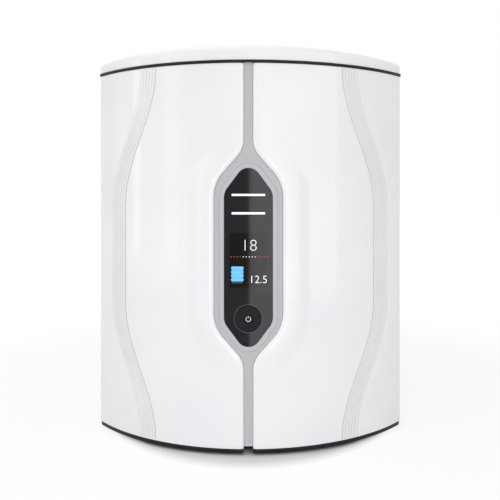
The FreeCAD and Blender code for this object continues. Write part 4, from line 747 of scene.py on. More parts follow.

# %% [markdown]
# The accent strips
#
# A pale ribbed strip runs down each door and bends away from the side at both ends. It is a thin
# moulding in a pearl tone. Its edge and its four fine ribs are real relief of a few tenths of a
# millimetre, with painted shade in darker lines at their feet, because at this distance the relief
# alone would be lost.

# %% Ribbed pearl strip
STRIP_RELIEF, STRIP_SUNK = 0.4, 0.4
STRIP_SIDE, STRIP_SWING = 30.0, 39.5
STRIP_UPPER, STRIP_LOWER = 272.0, 160.0
STRIP_WIDTH, STRIP_ROWS = 19.2, 181
RIB_SHARES = (0.22, 0.41, 0.6, 0.79)
NOTCH_SHARE, NOTCH_DEPTH = 0.02, 0.28
EDGE_SHADE_LINES = ((0.0, 0.07, 0.75), (1.0, 0.05, 0.4))
strip_low, strip_high = box("right_accent_strip")


def pearl_with_painted_shade():
    """Pearl plastic with lines of painted shade at the feet of the ribs and at its edges: UV's u
    runs across the strip, so each line is a narrow rise of the darker colour about a rib's share of
    u, and the strip's inner edge gets a stronger one."""
    material, tree, shader, place = start_material("ribbed pearl ABS", IOR=1.5)
    across = add(tree, "SeparateXYZ", (add(tree, "UVMap"),))
    color = wandering(tree, place, 40, "#F0F0F3", "#F4F4F6")
    for share, width, depth in [(share, 0.03, 0.34) for share in RIB_SHARES] + list(EDGE_SHADE_LINES):
        away = add(tree, "Math", (across, share), operation="SUBTRACT")
        near = add(tree, "Math", (away,), operation="ABSOLUTE")
        groove_shade = add(tree, "MapRange", (near, 0, width, depth, 0))
        # painted shade: a darker line at each rib's notch and along the strip's edges
        colors = {0: groove_shade, 6: color, 7: linear("#A2A3AA")}
        color = add(tree, "Mix", colors, data_type="RGBA").outputs[2]
    tree.links.new(color, shader.inputs["Base Color"])
    grained(tree, shader, place, 10, 0.2, 0.04, 0.002)
    return material


strip_pearl = pearl_with_painted_shade()
print("made", strip_pearl.name)

# %% [markdown]
# The strip could be cut out of the door, but on the real one it is a moulding of its own, so it is
# a grid again: a middle line that swings in at both ends, and a low relief with a notch at each
# rib.

# %% The strip's shape
def strip_middle(levels):
    """How far out the strip's middle line lies at each level: it stays straight between the bends
    and swings in by half a cosine wave beyond them."""
    past = np.maximum(levels - STRIP_UPPER, 0) / (strip_high[2] - STRIP_UPPER)
    past = past + np.maximum(STRIP_LOWER - levels, 0) / (STRIP_LOWER - strip_low[2])
    return half_width - STRIP_SIDE - STRIP_SWING * (1 - np.cos(math.pi * past)) / 2


def strip_shape():
    """The right strip: rows go up the door and columns across it. Its height over the door is the
    relief, rounded to nothing at both edges, less a small notch at each rib."""
    levels = np.linspace(strip_low[2], strip_high[2], STRIP_ROWS)
    rim = np.array([0, 0.006, 0.02, 0.04])
    notch = np.array([-NOTCH_SHARE, 0, NOTCH_SHARE])
    notches = np.concatenate([share + notch for share in RIB_SHARES])
    shares = np.sort(np.concatenate([rim, 1 - rim, notches]))
    height = np.full(len(shares), STRIP_RELIEF)
    height[[0, -1]] = 0
    height[[1, -2]] = STRIP_RELIEF * 0.6
    for share in RIB_SHARES:
        height[np.argmin(np.abs(shares - share))] -= NOTCH_DEPTH
    x = strip_middle(levels)[:, None] + (shares - 0.5) * STRIP_WIDTH
    face = np.stack([x, bow(x, bow_radius + height)], axis=-1)
    back = np.stack([x, bow(x, bow_radius - STRIP_SUNK)], axis=-1)
    return at_levels(np.concatenate([face, back[:, ::-1]], axis=1), levels)


strip_grid = strip_shape()
print("the strip has", strip_grid.shape[1], "points round it")

# %% [markdown]
# The lines of painted shade have to follow the strip's bends, so their pattern needs a map of its
# own. The map is worked out from each point's place, which keeps the lines exactly on the notches.

# %% The strip's map
def points_of(mesh):
    """A mesh's points as rows of x, y and z, in its own unit."""
    points = np.empty(len(mesh.vertices) * 3)
    mesh.vertices.foreach_get("co", points)
    return points.reshape(-1, 3)


def add_strip_map(item):
    """UV across the strip from its place: how far a point is from the strip's middle line."""
    mesh = item.data
    points = points_of(mesh) / MM
    corners = np.empty(len(mesh.loops), dtype=np.int32)
    mesh.loops.foreach_get("vertex_index", corners)
    across = (np.abs(points[:, 0]) - strip_middle(points[:, 2])) / STRIP_WIDTH + 0.5
    uv = np.stack([across, points[:, 2] / STRIP_WIDTH], axis=-1)[corners]
    mesh.uv_layers.new(name="UVMap").data.foreach_set("uv", uv.ravel())


strips = both_sides(
    "ribbed_strip", capped(strip_grid), strip_pearl, "door", "accent_strip"
)
for strip in strips:
    add_strip_map(strip)

# %% [markdown]
# The cover
#
# The cover is a shallow white tray, turned over. Its plan is the cabinet's, its top is slightly
# crowned, and its upper edge is well rounded. The plan is an outline of arcs and lines that touch,
# so an inner line is simply the outline moved along its normals. The top closes as smaller and
# smaller copies of that line.

# %% The cabinet's plan
REAR_CORNER = 14.0
cabinet_rear = cover_high[1]
plan_middle = np.array([0.0, (cover_low[1] + cabinet_rear) / 2])


def plan_half():
    """The right half of the plan, front to rear, with the way outwards at each point: the bow, the
    front corner, the side and the rear corner, then half of the back."""
    reach = math.atan2(pivot_x, bow_centre - pivot_y)
    rear_centre = (half_width - REAR_CORNER, cabinet_rear - REAR_CORNER)
    points, ways = [], []
    for centre, start, end, radius, count in (
        ((0, bow_centre), 0, reach, bow_radius, 50),
        (pin_place, reach, math.pi / 2, CORNER_RADIUS, 12),
        (rear_centre, math.pi / 2, math.pi, REAR_CORNER, 12),
    ):
        angle = np.linspace(start, end, count)
        out = np.stack([np.sin(angle), -np.cos(angle)], axis=-1)
        points.append(np.array(centre) + out * radius)
        ways.append(out)
    back = np.linspace(half_width - REAR_CORNER, 0, 16)[1:]
    points.append(np.column_stack([back, np.full(len(back), cabinet_rear)]))
    ways.append(np.tile([0.0, 1.0], (len(back), 1)))
    return np.vstack(points), np.vstack(ways)


def whole_plan():
    """Both halves: the right one, and its mirror image from the rear to the front."""
    flip = np.array([-1.0, 1.0])
    return [np.vstack([half, half[-2:0:-1] * flip]) for half in plan_half()]


plan_points, plan_ways = whole_plan()
print("the plan has", len(plan_points), "points")

# %% [markdown]
# The tray's wall rises along the plan, turns over a rounded edge and ends in the crowned top. The
# inside is the same tray a wall further in, and a rim joins the two, so the wall is even.

# %% The cover's shape
COVER_WALL, WALL_ROWS = 3.0, 3
CROWN = 4.0
EDGE_ACROSS, EDGE_HIGH = 7.6, 6.4
CAP_SHARES = np.linspace(0.97, 0, 26)


def crown_height(x, top):
    """The level of the crowned top: it falls as the square of the distance from the middle."""
    return top - CROWN * (x / half_width) ** 2


def tray(grow, top, bottom):
    """Rings of the tray's skin: up the wall, over the rounded edge by a quarter ellipse, and then
    copies that shrink towards the middle of the top."""
    turn = np.linspace(0, math.pi / 2, 10)
    inset = np.concatenate([np.zeros(WALL_ROWS), EDGE_ACROSS * (1 - np.cos(turn))])
    rings = []
    for number, step in enumerate(inset):
        line = plan_points + plan_ways * (grow - step)
        high = crown_height(line[:, 0], top)
        if number < WALL_ROWS:
            level = bottom + (high - EDGE_HIGH - bottom) * number / WALL_ROWS
        else:
            level = high - EDGE_HIGH * (1 - np.sin(turn[number - WALL_ROWS]))
        rings.append(np.column_stack([line, level]))
    last = rings[-1][:, :2]
    for share in CAP_SHARES:
        line = plan_middle + (last - plan_middle) * share
        rings.append(np.column_stack([line, crown_height(line[:, 0], top)]))
    return np.array(rings)


outside = tray(0.0, cover_high[2], cover_low[2])
inside = tray(-COVER_WALL, cover_high[2] - COVER_WALL, cover_low[2])
rim = np.array([inside[0], outside[0]])
cover_surface = joined(*[skin(grid, round_columns=True) for grid in (outside, inside, rim)])
piece("crowned_cover", cover_surface, door_white, ("top_cover",))

# %% [markdown]
# The column and the frame
#
# The grey column is one casting with the frame round the display. Its section changes with every
# level, so the right half is a grid again: rows are levels, and a row runs from the window's edge
# over the front, back to the flange that stiffens the casting behind the doors, and along its rear.
# The left half is its mirror image, and the two meet in the middle.

# %% The display's outline
GLASS_TOP, GLASS_BOTTOM = 287.7, 145.5
GLASS_SLOPE = 1.34
GLASS_SIDE_RADIUS, GLASS_TIP_RADIUS = 18.0, 13.5
glass_half = glass_high[0]
bezel_width = bezel_high[0] - glass_half
SEAT_GAP = 0.1


def hexagon(grow):
    """The display's outline, clockwise from its top, grown outwards: slopes move out by the same
    amount as the sides, and every corner's radius grows with them."""
    half = glass_half + grow
    rise = grow * (math.hypot(GLASS_SLOPE, 1) - GLASS_SLOPE)
    top, bottom = GLASS_TOP + rise, GLASS_BOTTOM - rise
    corners = [
        (0, top + GLASS_SLOPE * half),
        (half, top),
        (half, bottom),
        (0, bottom - GLASS_SLOPE * half),
        (-half, bottom),
        (-half, top),
    ]
    tip, side = GLASS_TIP_RADIUS + grow, GLASS_SIDE_RADIUS + grow
    return rounded(corners, (tip, side, side, tip, side, side))


window_line = hexagon(bezel_width + SEAT_GAP)
first, last = ARC_STEPS // 2, 3 * ARC_STEPS + ARC_STEPS // 2
window_half = window_line[first : last + 1]
print("the window's half width is", window_half[:, 0].max(), "mm")

# %% [markdown]
# No cast edge is sharp. The front sinks at its outer edge, at the window and at the foot by quarter
# circles of the true distance to each, and the points crowd together there, where they are needed.

# %% The column's shape
COLUMN_LIFT = 2.4
FLANGE_HALF = 42.0
FRONT_EDGE, WINDOW_EDGE, FOOT_EDGE = 0.35, 0.15, 1.2
EDGE_SHARES = np.array([0, 0.03, 0.12, 0.3, 0.6, 1.0])


def fall_off(away, size):
    """How far a rounded edge lies behind the face: a quarter circle over its own size."""
    near = np.clip(1 - away / size, 0, 1)
    return size * (1 - np.sqrt(1 - near**2))


def column_half_shell():
    """Rows of the right half, with the window's own wall as a second grid. The front sinks at its
    outer edge, at the window and at the foot by quarter circles of the true distance to each."""
    foot, head = door_bottom + COLUMN_LIFT, column_high[2]
    outer = frame_edge(0.0, foot, head)[::-1]
    window = window_half[::-1]
    levels = np.concatenate(
        [foot + EDGE_SHARES * FOOT_EDGE, np.arange(foot + 3, head, 1.7), window[:, 1], [head]]
    )
    levels = np.unique(np.round(levels, 4))
    edge = np.interp(levels, outer[:, 1], outer[:, 0])
    clear = np.interp(levels, window[:, 1], window[:, 0], left=0, right=0)
    clear[clear < MERGE] = 0
    near = clear[:, None] + EDGE_SHARES * WINDOW_EDGE
    far = edge[:, None] - EDGE_SHARES[::-1] * FRONT_EDGE
    between = near[:, -1:] + (far[:, :1] - near[:, -1:]) * np.linspace(0, 1, 8)[1:-1]
    x = np.hstack([near, between, far])
    z = np.repeat(levels[:, None], x.shape[1], axis=1)
    y = column_front + fall_off(distance(x, z, outer), FRONT_EDGE)
    y = y + fall_off(distance(x, z, window), WINDOW_EDGE) + fall_off(z - foot, FOOT_EDGE)
    rows = len(levels)
    fixed = [(edge, flange_front), (np.full(rows, FLANGE_HALF), flange_front)]
    fixed += [(np.full(rows, FLANGE_HALF), flange_rear), (clear, flange_rear)]
    x = np.hstack([x] + [across[:, None] for across, _ in fixed])
    y = np.hstack([y] + [np.full((rows, 1), depth) for _, depth in fixed])
    grid = np.stack([x, y, np.repeat(levels[:, None], x.shape[1], axis=1)], axis=-1)
    front = slice(0, -len(fixed))
    sole, low, low_end = grid[0].copy(), grid[0].copy(), grid[0].copy()
    sole[front, 1] = flange_front
    low[front, 1] = flange_front
    low[:, 2] = column_low[2]
    low_end[:, 1] = flange_rear
    low_end[:, 2] = column_low[2]
    head_end = grid[-1].copy()
    head_end[:, 1] = flange_rear
    body = np.concatenate([[low_end, low, sole], grid, [head_end]])
    inside = (levels >= window[0, 1] - MERGE) & (levels <= window[-1, 1] + MERGE)
    wall = np.stack([grid[inside, 0], grid[inside, -1]], axis=1)
    return joined(skin(body), skin(wall))


column_shell = column_half_shell()
column_surface = joined(column_shell, mirrored(column_shell))
piece("column_and_frame", column_surface, frame_grey, ("centre_column",))

# %% [markdown]
# The bezel is a pale ring between the frame and the glass. Its section is a small closed loop, and
# the loop is carried round the hexagon: every point of the loop has its own outline, grown by the
# point's distance from the glass.

# %% The bezel
BEZEL_CROWN, BEZEL_SIDE = 0.35, 0.6


def facing(line, depth):
    """An outline of (x, z) stood up at a depth, facing the front."""
    return np.column_stack([line[:, 0], np.full(len(line), depth), line[:, 1]])


def swept_ring(section):
    """A closed section of (grow, depth) points carried round the display's outline."""
    rings = [facing(hexagon(grow), depth) for grow, depth in section]
    return skin(np.array(rings), round_rows=True, round_columns=True)


def bezel_section():
    """Up the inner side, over a face that is slightly crowned, and down the outer side."""
    inner, outer = SEAT_GAP, bezel_width
    front, rear = bezel_low[1], bezel_high[1]
    share = np.linspace(0, 1, 13)
    across = inner + (outer - inner) * (1 - np.cos(math.pi * share)) / 2
    face = list(zip(across, front + BEZEL_CROWN * np.abs(2 * share - 1) ** 3))
    side = front + BEZEL_SIDE
    return [(inner, rear), (inner, side)] + face + [(outer, side), (outer, rear)]


bezel_surface = swept_ring(bezel_section())
piece("bezel_ring", bezel_surface, bezel_grey, ("display_bezel",))

# %% [markdown]
# Flat details that face the front, such as light bars, level bars and dots, are plates: an outline,
# a small rounded edge, and a front that closes towards the middle. One helper makes them all.

# %% Plates
def plate(outline, front, rear, edge, steps=4):
    """A closed plate: the outline at the rear, then lines that step inwards along the outline's
    normals over a quarter circle, and both faces drawn together in the middle."""
    ahead, behind = np.roll(outline, -1, axis=0), np.roll(outline, 1, axis=0)
    way = ahead - behind
    inwards = np.stack([way[:, 1], -way[:, 0]], axis=-1)
    inwards /= np.linalg.norm(inwards, axis=1)[:, None]
    middle = outline.mean(axis=0)
    if ((middle - outline) * inwards).sum() < 0:
        inwards = -inwards
    turn = np.linspace(0, math.pi / 2, steps)
    rings = [(outline * 0 + middle, rear), (outline, rear)]
    for angle in turn:
        line = outline + inwards * edge * (1 - math.cos(angle))
        rings.append((line, front + edge * (1 - math.sin(angle))))
    rings.append((outline * 0 + middle, front))
    return skin(np.array([facing(line, depth) for line, depth in rings]), round_columns=True)


def pill(centre_x, centre_z, width, height, radius=None, steps=9):
    """The outline of a rectangle with round corners, clockwise."""
    half_x, half_z = width / 2, height / 2
    radius = min(half_x, half_z) * 0.999 if radius is None else radius
    parts = []
    for x_sign, z_sign, start in ((1, 1, 90), (1, -1, 0), (-1, -1, -90), (-1, 1, -180)):
        angle = np.radians(np.linspace(start, start - 90, steps))
        middle = (centre_x + x_sign * (half_x - radius), centre_z + z_sign * (half_z - radius))
        parts.append(np.array(middle) + radius * circle(angle))
    return np.vstack(parts)


print("a pill of 10 by 4 mm has", len(pill(0, 0, 10, 4)), "points")


# %% [markdown]
# The light bars are clear rods that stand a hair proud of the glass. They glow evenly from end to
# end, and their ends are almost square.

# %% The light bars
bars_low, bars_high = box("light_bars")
BAR_HEIGHT, BAR_TRIM, BAR_EDGE, BAR_ROUND = 2.1, 0.25, 0.3, 0.12
bar_levels = (bars_high[2] - BAR_TRIM - BAR_HEIGHT / 2, bars_low[2] + BAR_TRIM + BAR_HEIGHT / 2)
bar_length = bars_high[0] - bars_low[0] - 2 * BAR_TRIM
bars = [
    plate(pill(0, level, bar_length, BAR_HEIGHT, BAR_EDGE), bars_low[1], bars_high[1], BAR_ROUND)
    for level in bar_levels
]
piece("lit_bars", joined(*bars), bar_light, ("light_bars",))

# %% [markdown]
# The column ends in a small lip at the casting's foot. Its upper side catches the light from above,
# and its grey, paler than the column's, is partly painted highlight for the bright line there. It
# bends up a little towards its ends, as the square of the distance from its middle.

# %% The column's foot
LIP_HEIGHT, LIP_PROUD, LIP_TRIM, LIP_EDGE = 2.0, 0.4, 1.0, 0.35
LIP_LIFT, LIP_BEND, LIP_DROP = 0.3, 0.05, 0.5
lip_level = door_bottom + COLUMN_LIFT + LIP_HEIGHT / 2 + LIP_LIFT
lip = pill(0, lip_level, 2 * column_half - LIP_TRIM, LIP_HEIGHT, 0.6)
lip[:, 1] += LIP_BEND * lip[:, 0] ** 2 - LIP_DROP
lip = plate(lip, column_front - LIP_PROUD, column_front + 0.1, LIP_EDGE)
# painted highlight in part: the lip's paler grey adds to the light that its upper side catches
piece("column_foot_lip", lip, pale_abs)

# %% [markdown]
# The dial and the button
#
# The dial is turned from aluminium and anodised dark. The tool leaves fine rings on its face, and
# they are real ridges here, because they catch the light as the dial turns. A ring printed on the
# glass marks its edge, and the push button in its middle carries the common on and off symbol.

# %% Dark anodised aluminium
# A real feed of about 0.2 mm would not show, so its rings are drawn coarser.
FEED_SCALE = 9.0
dial_low, dial_high = box("control_dial")
button_low, button_high = box("power_button")
dial_level = (dial_low[2] + dial_high[2]) / 2
dial_radius = dial_high[0]


def anodised():
    """Anodised, turned metal: rings of the tool's feed, worked out from the distance to the dial's
    axis, vary the tone and the gloss a little."""
    material, tree, shader, place = start_material(
        "dark anodised aluminium", Metallic=0.25, Specular_IOR_Level=0.2
    )
    axes = add(tree, "SeparateXYZ", (place,)).outputs
    level = add(tree, "Math", (axes["Z"], dial_level * MM), operation="SUBTRACT")
    flat = add(tree, "CombineXYZ", (axes["X"], level))
    reach = add(tree, "VectorMath", (flat,), operation="LENGTH").outputs["Value"]
    rings = {"Vector": add(tree, "CombineXYZ", (reach,)), "Scale": 1 / (FEED_SCALE * MM)}
    feed = add(tree, "TexWave", rings, wave_type="BANDS").outputs["Fac"]
    share = add(tree, "MapRange", (feed, 0, 1, 0.2, 0.8))
    colors = {0: share, 6: linear("#101013"), 7: linear("#1C1C20")}
    color = add(tree, "Mix", colors, data_type="RGBA").outputs[2]
    tree.links.new(color, shader.inputs["Base Color"])
    gloss = add(tree, "MapRange", (feed, 0, 1, 0.42, 0.52))
    tree.links.new(gloss.outputs[0], shader.inputs["Roughness"])
    return material


dial_metal = anodised()
print("the dial's axis is", dial_level, "mm high and its radius", dial_radius, "mm")

# %% [markdown]
# The dial and the button are profiles turned about the dial's axis, as on the lathe. The ridges are
# a cosine along the radius, and the printed ring is a turned one of a few hundredths.

# %% The dial, its ring and the button
DIAL_THICKNESS, DIAL_SHAFT, DIAL_BORE, DIAL_RIM = 4.0, 7.0, 4.8, 0.7
RIDGE_PITCH, RIDGE_HEIGHT, BORE_EDGE = 1.1, 0.07, 0.3
DIAL_STEPS = 96
INK_INNER, INK_OUTER, INK_HEIGHT = 15.1, 15.8, 0.04
BUTTON_EDGE, BUTTON_CORNER = 0.4, 0.12


def dial_profile():
    """The dial's section: a face with ridges, a rounded rim, the back, the shaft and the bore."""
    front, rear = dial_low[1], dial_high[1]
    rim = DIAL_RIM
    radius = np.linspace(DIAL_BORE + BORE_EDGE, dial_radius - rim - 0.4, 90)
    ridge = front + RIDGE_HEIGHT * (1 + np.cos(2 * math.pi * radius / RIDGE_PITCH)) / 2
    turn = np.linspace(math.pi / 2, 0, 6)
    edge = [(dial_radius - rim + rim * math.cos(t), front + rim * (1 - math.sin(t))) for t in turn]
    back = front + DIAL_THICKNESS
    mouth = [(DIAL_BORE, front + BORE_EDGE)]
    rest = [(dial_radius, back), (DIAL_SHAFT, back), (DIAL_SHAFT, rear), (DIAL_BORE, rear)]
    return mouth + list(zip(radius, ridge)) + edge + rest + mouth


def button_profile():
    """The button's section: the back, the wall and a chamfer in two steps round its face."""
    radius, front, rear = button_high[0], button_low[1], button_high[1]
    wall = [(0, rear), (radius, rear), (radius, front + BUTTON_EDGE)]
    chamfer = [(radius - BUTTON_CORNER, front + BUTTON_CORNER), (radius - BUTTON_EDGE, front)]
    return wall + chamfer + [(0, front)]


dial_place = (0.0, dial_level)
dial_surface = turned(dial_profile(), dial_place, "y", DIAL_STEPS)
piece("ridged_dial", dial_surface, dial_metal, ("control_dial",), "control_dial")

glass_front = glass_low[1]
ink_front = glass_front - INK_HEIGHT
ink = [(INK_INNER, glass_front), (INK_INNER, ink_front), (INK_OUTER, ink_front)]
ink += [(INK_OUTER, glass_front), (INK_INNER, glass_front)]
piece("printed_ring", turned(ink, dial_place, "y", DIAL_STEPS), ring_ink)
button_surface = turned(button_profile(), dial_place, "y")
piece("push_button", button_surface, dial_metal, ("power_button",), "power_button")


# %% [markdown]
# The button carries the common sign for on and off. A small section is carried round the open arc,
# and a short bar stands in the gap.

# %% The on and off symbol
SIGN_INNER, SIGN_OUTER, SIGN_START, SIGN_END = 2.25, 2.95, 122, 418
SIGN_SUNK, SIGN_PROUD = 0.01, 0.05
SIGN_BAR_LIFT, SIGN_BAR_WIDTH, SIGN_BAR_HEIGHT = 2.3, 0.7, 2.0


def symbol():
    """The on and off symbol: a ring that is open at the top, with a short bar in the gap."""
    angle = np.radians(np.linspace(SIGN_START, SIGN_END, 49))
    front = button_low[1] + SIGN_SUNK
    section = [(SIGN_INNER, 0), (SIGN_INNER, SIGN_PROUD), (SIGN_OUTER, SIGN_PROUD), (SIGN_OUTER, 0)]
    rows = [facing(radius * circle(angle) + dial_place, front - depth) for radius, depth in section]
    arc = capped(np.array(rows).transpose(1, 0, 2))
    bar = pill(0, dial_level + SIGN_BAR_LIFT, SIGN_BAR_WIDTH, SIGN_BAR_HEIGHT)
    return joined(arc, plate(bar, front - SIGN_PROUD, front, 0.02))


piece("on_off_symbol", symbol(), icon_light, body="power_button")

# %% [markdown]
# The screen
#
# The screen shows what such a machine measures: a large figure, a row of dots for the quality, a
# stack of bars for the tank's level, and a smaller figure for the volume. The numbers are generic
# and have no units. Text is turned into a mesh before it gets its place, so the piece sits in the
# object's frame like every other one.

# %% Figures, dots and bars on the screen
INK_FRONT, INK_EDGE = glass_front - 0.05, 0.02
DOT_COUNT, DOT_SIZE, DOT_LEVEL = 13, 1.1, 217.2
DOT_SPAN, DOT_MIDDLE = 39.6, 1.0
# Height, right end, base line, and how far the font's outline is drawn in.
LARGE_FIGURE, SMALL_FIGURE = (11.8, 9.0, 224.0, -0.026), (8.0, 20.2, 188.6, -0.012)


def figures(name, text, height, right, base, thinner):
    """Digits as a thin mesh: the font's outline is drawn in a little, filled, made a mesh, scaled
    to a height in millimetres and stood upright on a base line, with its right end at a place."""
    curve = bpy.data.curves.new(name, "FONT")
    curve.body = text
    curve.extrude = 0.01
    curve.offset = thinner
    letters = bpy.data.objects.new(name, curve)
    mesh = bpy.data.meshes.new_from_object(letters)
    points = points_of(mesh)
    low, high = points.min(axis=0), points.max(axis=0)
    scale = height / (high[1] - low[1])
    x = right - (high[0] - points[:, 0]) * scale
    z = base + (points[:, 1] - low[1]) * scale
    y = np.where(points[:, 2] > 0, INK_FRONT, glass_front + 0.02)
    mesh.vertices.foreach_set("co", (np.stack([x, y, z], axis=-1) * MM).ravel())
    mesh.update()
    bpy.data.objects.remove(letters)
    return settle(name, mesh, white_figure)


figures("large_figure", "18", *LARGE_FIGURE)
figures("small_figure", "12.5", *SMALL_FIGURE)


# %% [markdown]
# Dots, bars and their shade are thin plates on the glass. They could be painted in the glass's
# material, but a plate keeps its edge sharp in any render.

# %% Dots and bars
def printed(x, z, width, height, radius=None, steps=9, sunk=0.0):
    """A lit mark on the glass: a thin plate, a few hundredths proud of it."""
    outline = pill(x, z, width, height, radius, steps)
    return plate(outline, INK_FRONT + sunk, glass_front, INK_EDGE, 2)


def dots(numbers):
    """Some of the dots of the quality row, which are spread evenly about the middle."""
    places = np.linspace(-DOT_SPAN / 2, DOT_SPAN / 2, DOT_COUNT) + DOT_MIDDLE
    return joined(*[printed(places[n], DOT_LEVEL, DOT_SIZE, DOT_SIZE, steps=4) for n in numbers])


piece("end_dots", dots([0, 1, 2, 3, 9, 10, 11, 12]), red_figure)
piece("middle_dots", dots([4, 5, 6, 7, 8]), white_figure)

LEVEL_BARS, LEVEL_PITCH = 4, 4.15
LEVEL_MIDDLE, LEVEL_WIDTH, LEVEL_HEIGHT, LEVEL_ROUND = -12.1, 13.6, 3.85, 1.5
LEVEL_BASE, EMPTY_DROP, EMPTY_HEIGHT = 192.3, 3.2, 1.4
SHADE_TRIM, SHADE_SUNK, EMPTY_TRIM = 1.2, 0.015, 1.0
STACK = LEVEL_PITCH * (LEVEL_BARS - 1)
levels = [
    printed(LEVEL_MIDDLE, LEVEL_BASE + LEVEL_PITCH * n, LEVEL_WIDTH, LEVEL_HEIGHT, LEVEL_ROUND)
    for n in range(LEVEL_BARS)
]
piece("level_bars", joined(*levels), blue_figure)
shade_width = LEVEL_WIDTH - SHADE_TRIM
shade = printed(LEVEL_MIDDLE, LEVEL_BASE + STACK / 2, shade_width, STACK, sunk=SHADE_SUNK)
piece("level_shade", shade, blue_shade)
empty_level, empty_width = LEVEL_BASE - EMPTY_DROP, LEVEL_WIDTH - EMPTY_TRIM
empty = printed(LEVEL_MIDDLE, empty_level, empty_width, EMPTY_HEIGHT)
piece("empty_level_bar", empty, deep_blue_figure)

# %% [markdown]
# The water train
#
# Behind the doors stand two tall packs of resin on their docks, and between them the steel lamp
# chamber and the ultrafilter. The packs keep their CAD shape, because their sockets fit the
# nozzles. What is added is what a moulded pack carries: a fluted blue grip round its knob, moulded
# rings and a plain label with two printed lines.

# %% Grips, rings and labels of the packs
PACK_BODY, PACK_KNOB, PACK_NECK = 43.5, 24.0, 15.0
PACK_RINGS, PACK_RING_HALF = (100.0, 118.0, 276.0, 294.0), 1.6
GRIP_RADIUS, GRIP_LEVELS, GRIP_FLUTES, GRIP_DEPTH = 27.0, (372.6, 381.4), 30, 1.3
COLLAR_RADIUS, COLLAR_LEVELS = 17.6, (357.2, 361.6)
LABEL_LOW, LABEL_HIGH = 138.0, 256.0
LABEL_LINES, LINE_HALF = (LABEL_LOW + 10, LABEL_HIGH - 10), 1.2
WIDE_STEPS = 96
pack_low, pack_high = box("right_purification_pack")
pack_place = (pack_low[:2] + pack_high[:2]) / 2


def pack_band(sunk, proud, low, high, edge):
    """A ring round the pack's body, from just inside its wall to a little proud of it."""
    inner, outer = PACK_BODY - sunk, PACK_BODY + proud
    return ring(inner, outer, low, high, edge, pack_place, steps=WIDE_STEPS)


grip = joined(
    ring(PACK_KNOB, GRIP_RADIUS, *GRIP_LEVELS, 0.8, pack_place, "z", 240, GRIP_FLUTES, GRIP_DEPTH),
    ring(PACK_NECK, COLLAR_RADIUS, *COLLAR_LEVELS, 0.6, pack_place),
)
half = PACK_RING_HALF
rings = joined(*[pack_band(0.3, 1.1, level - half, level + half, 1.0) for level in PACK_RINGS])
label = pack_band(0.2, 0.12, LABEL_LOW, LABEL_HIGH, 0.05)
half = LINE_HALF
lines = joined(*[pack_band(0, 0.16, level - half, level + half, 0.02) for level in LABEL_LINES])
for name, shape, material, slot_name in (
    ("fluted_grip", grip, blue_cap, "blue_tube"),
    ("moulded_rings", rings, polypropylene, "natural_polymer"),
    ("plain_label", label, label_film, "blue_tube"),
    ("label_lines", lines, blue_cap, "blue_tube"),
):
    both_sides(f"pack_{name}", shape, material, "purification_pack")

# %% [markdown]
# The ultrafilter is a clear tube full of hollow fibres. The bundle is fluted here, so that it
# reads as many upright strands, and the caps at both ends carry a grip and a barbed nozzle, on
# which a tube is pushed.

# %% The ultrafilter
filter_low, filter_high = box("ultrafilter")
filter_place = (filter_low[:2] + filter_high[:2]) / 2
FILTER_TUBE, FILTER_BUNDLE, FILTER_CAP = 18.0, 14.8, 20.5
FILTER_NOZZLE, FILTER_NECK, FILTER_TIP, FILTER_BARB = 5.0, 3.9, 3.6, 4.0
FILTER_CAP_EDGE, FILTER_CAP_FLUTES, FILTER_CAP_DEPTH = 1.4, 24, 0.9
FILTER_WALL, FIBRE_FLUTES, FIBRE_DEPTH = 1.5, 48, 1.1
FILTER_CAP_HEIGHT, FILTER_NOZZLE_HEIGHT = 18.0, 12.0


def filter_cap(end, way):
    """A cap from its nozzle's end to its inner rim: two barbs, a face, a fluted wall."""
    root = end + way * FILTER_NOZZLE_HEIGHT
    rim = root + way * FILTER_CAP_HEIGHT
    profile = [(0, end), (FILTER_TIP, end)]
    for level in (end + way * FILTER_BARB, end + way * 2 * FILTER_BARB):
        profile += [(FILTER_NOZZLE, level), (FILTER_NECK, level)]
    edge = FILTER_CAP_EDGE
    profile += [(FILTER_NECK, root), (FILTER_CAP - edge, root), (FILTER_CAP, root + way * edge)]
    profile += [(FILTER_CAP, rim - way), (FILTER_CAP - 1, rim), (0, rim)]
    depths = np.array([0] * 8 + [1, 1, 0, 0]) * FILTER_CAP_DEPTH
    return turned(profile, filter_place, steps=192, flutes=FILTER_CAP_FLUTES, depth=depths)


caps = joined(filter_cap(filter_low[2], 1), filter_cap(filter_high[2], -1))
piece("filter_caps", caps, pale_abs, ("ultrafilter",))
cap_reach = FILTER_NOZZLE_HEIGHT + FILTER_CAP_HEIGHT
inner_low, inner_high = filter_low[2] + cap_reach, filter_high[2] - cap_reach
tube_ends = (inner_low - 2, inner_high + 2)
tube_inner = FILTER_TUBE - FILTER_WALL
tube = ring(tube_inner, FILTER_TUBE, *tube_ends, 0.2, filter_place, steps=WIDE_STEPS)
piece("filter_tube", tube, clear_tube)
bundle = [(0, inner_low - 1), (FILTER_BUNDLE, inner_low - 1), (FILTER_BUNDLE, inner_high + 1)]
bundle = turned(bundle + [(0, inner_high + 1)], filter_place, steps=288, flutes=FIBRE_FLUTES,
                depth=np.array([0, 1, 1, 0]) * FIBRE_DEPTH)
piece("fibre_bundle", bundle, polypropylene)

# %% [markdown]
# The lamp chamber is a steel tube with a welded rim at each end, closed by black caps with a grip.

# %% The lamp chamber's caps and rims
chamber_low, chamber_high = box("uv_chamber")
lamp_caps_low, lamp_caps_high = box("uv_end_caps")
chamber_place = (chamber_low[:2] + chamber_high[:2]) / 2
CHAMBER_RADIUS, RIM_HEIGHT, RIM_PROUD = 28.0, 5.5, 1.4
LAMP_CAP, LAMP_CAP_EDGE, LAMP_CAP_FLUTES, LAMP_CAP_DEPTH = 30.0, 2, 24, 1.2


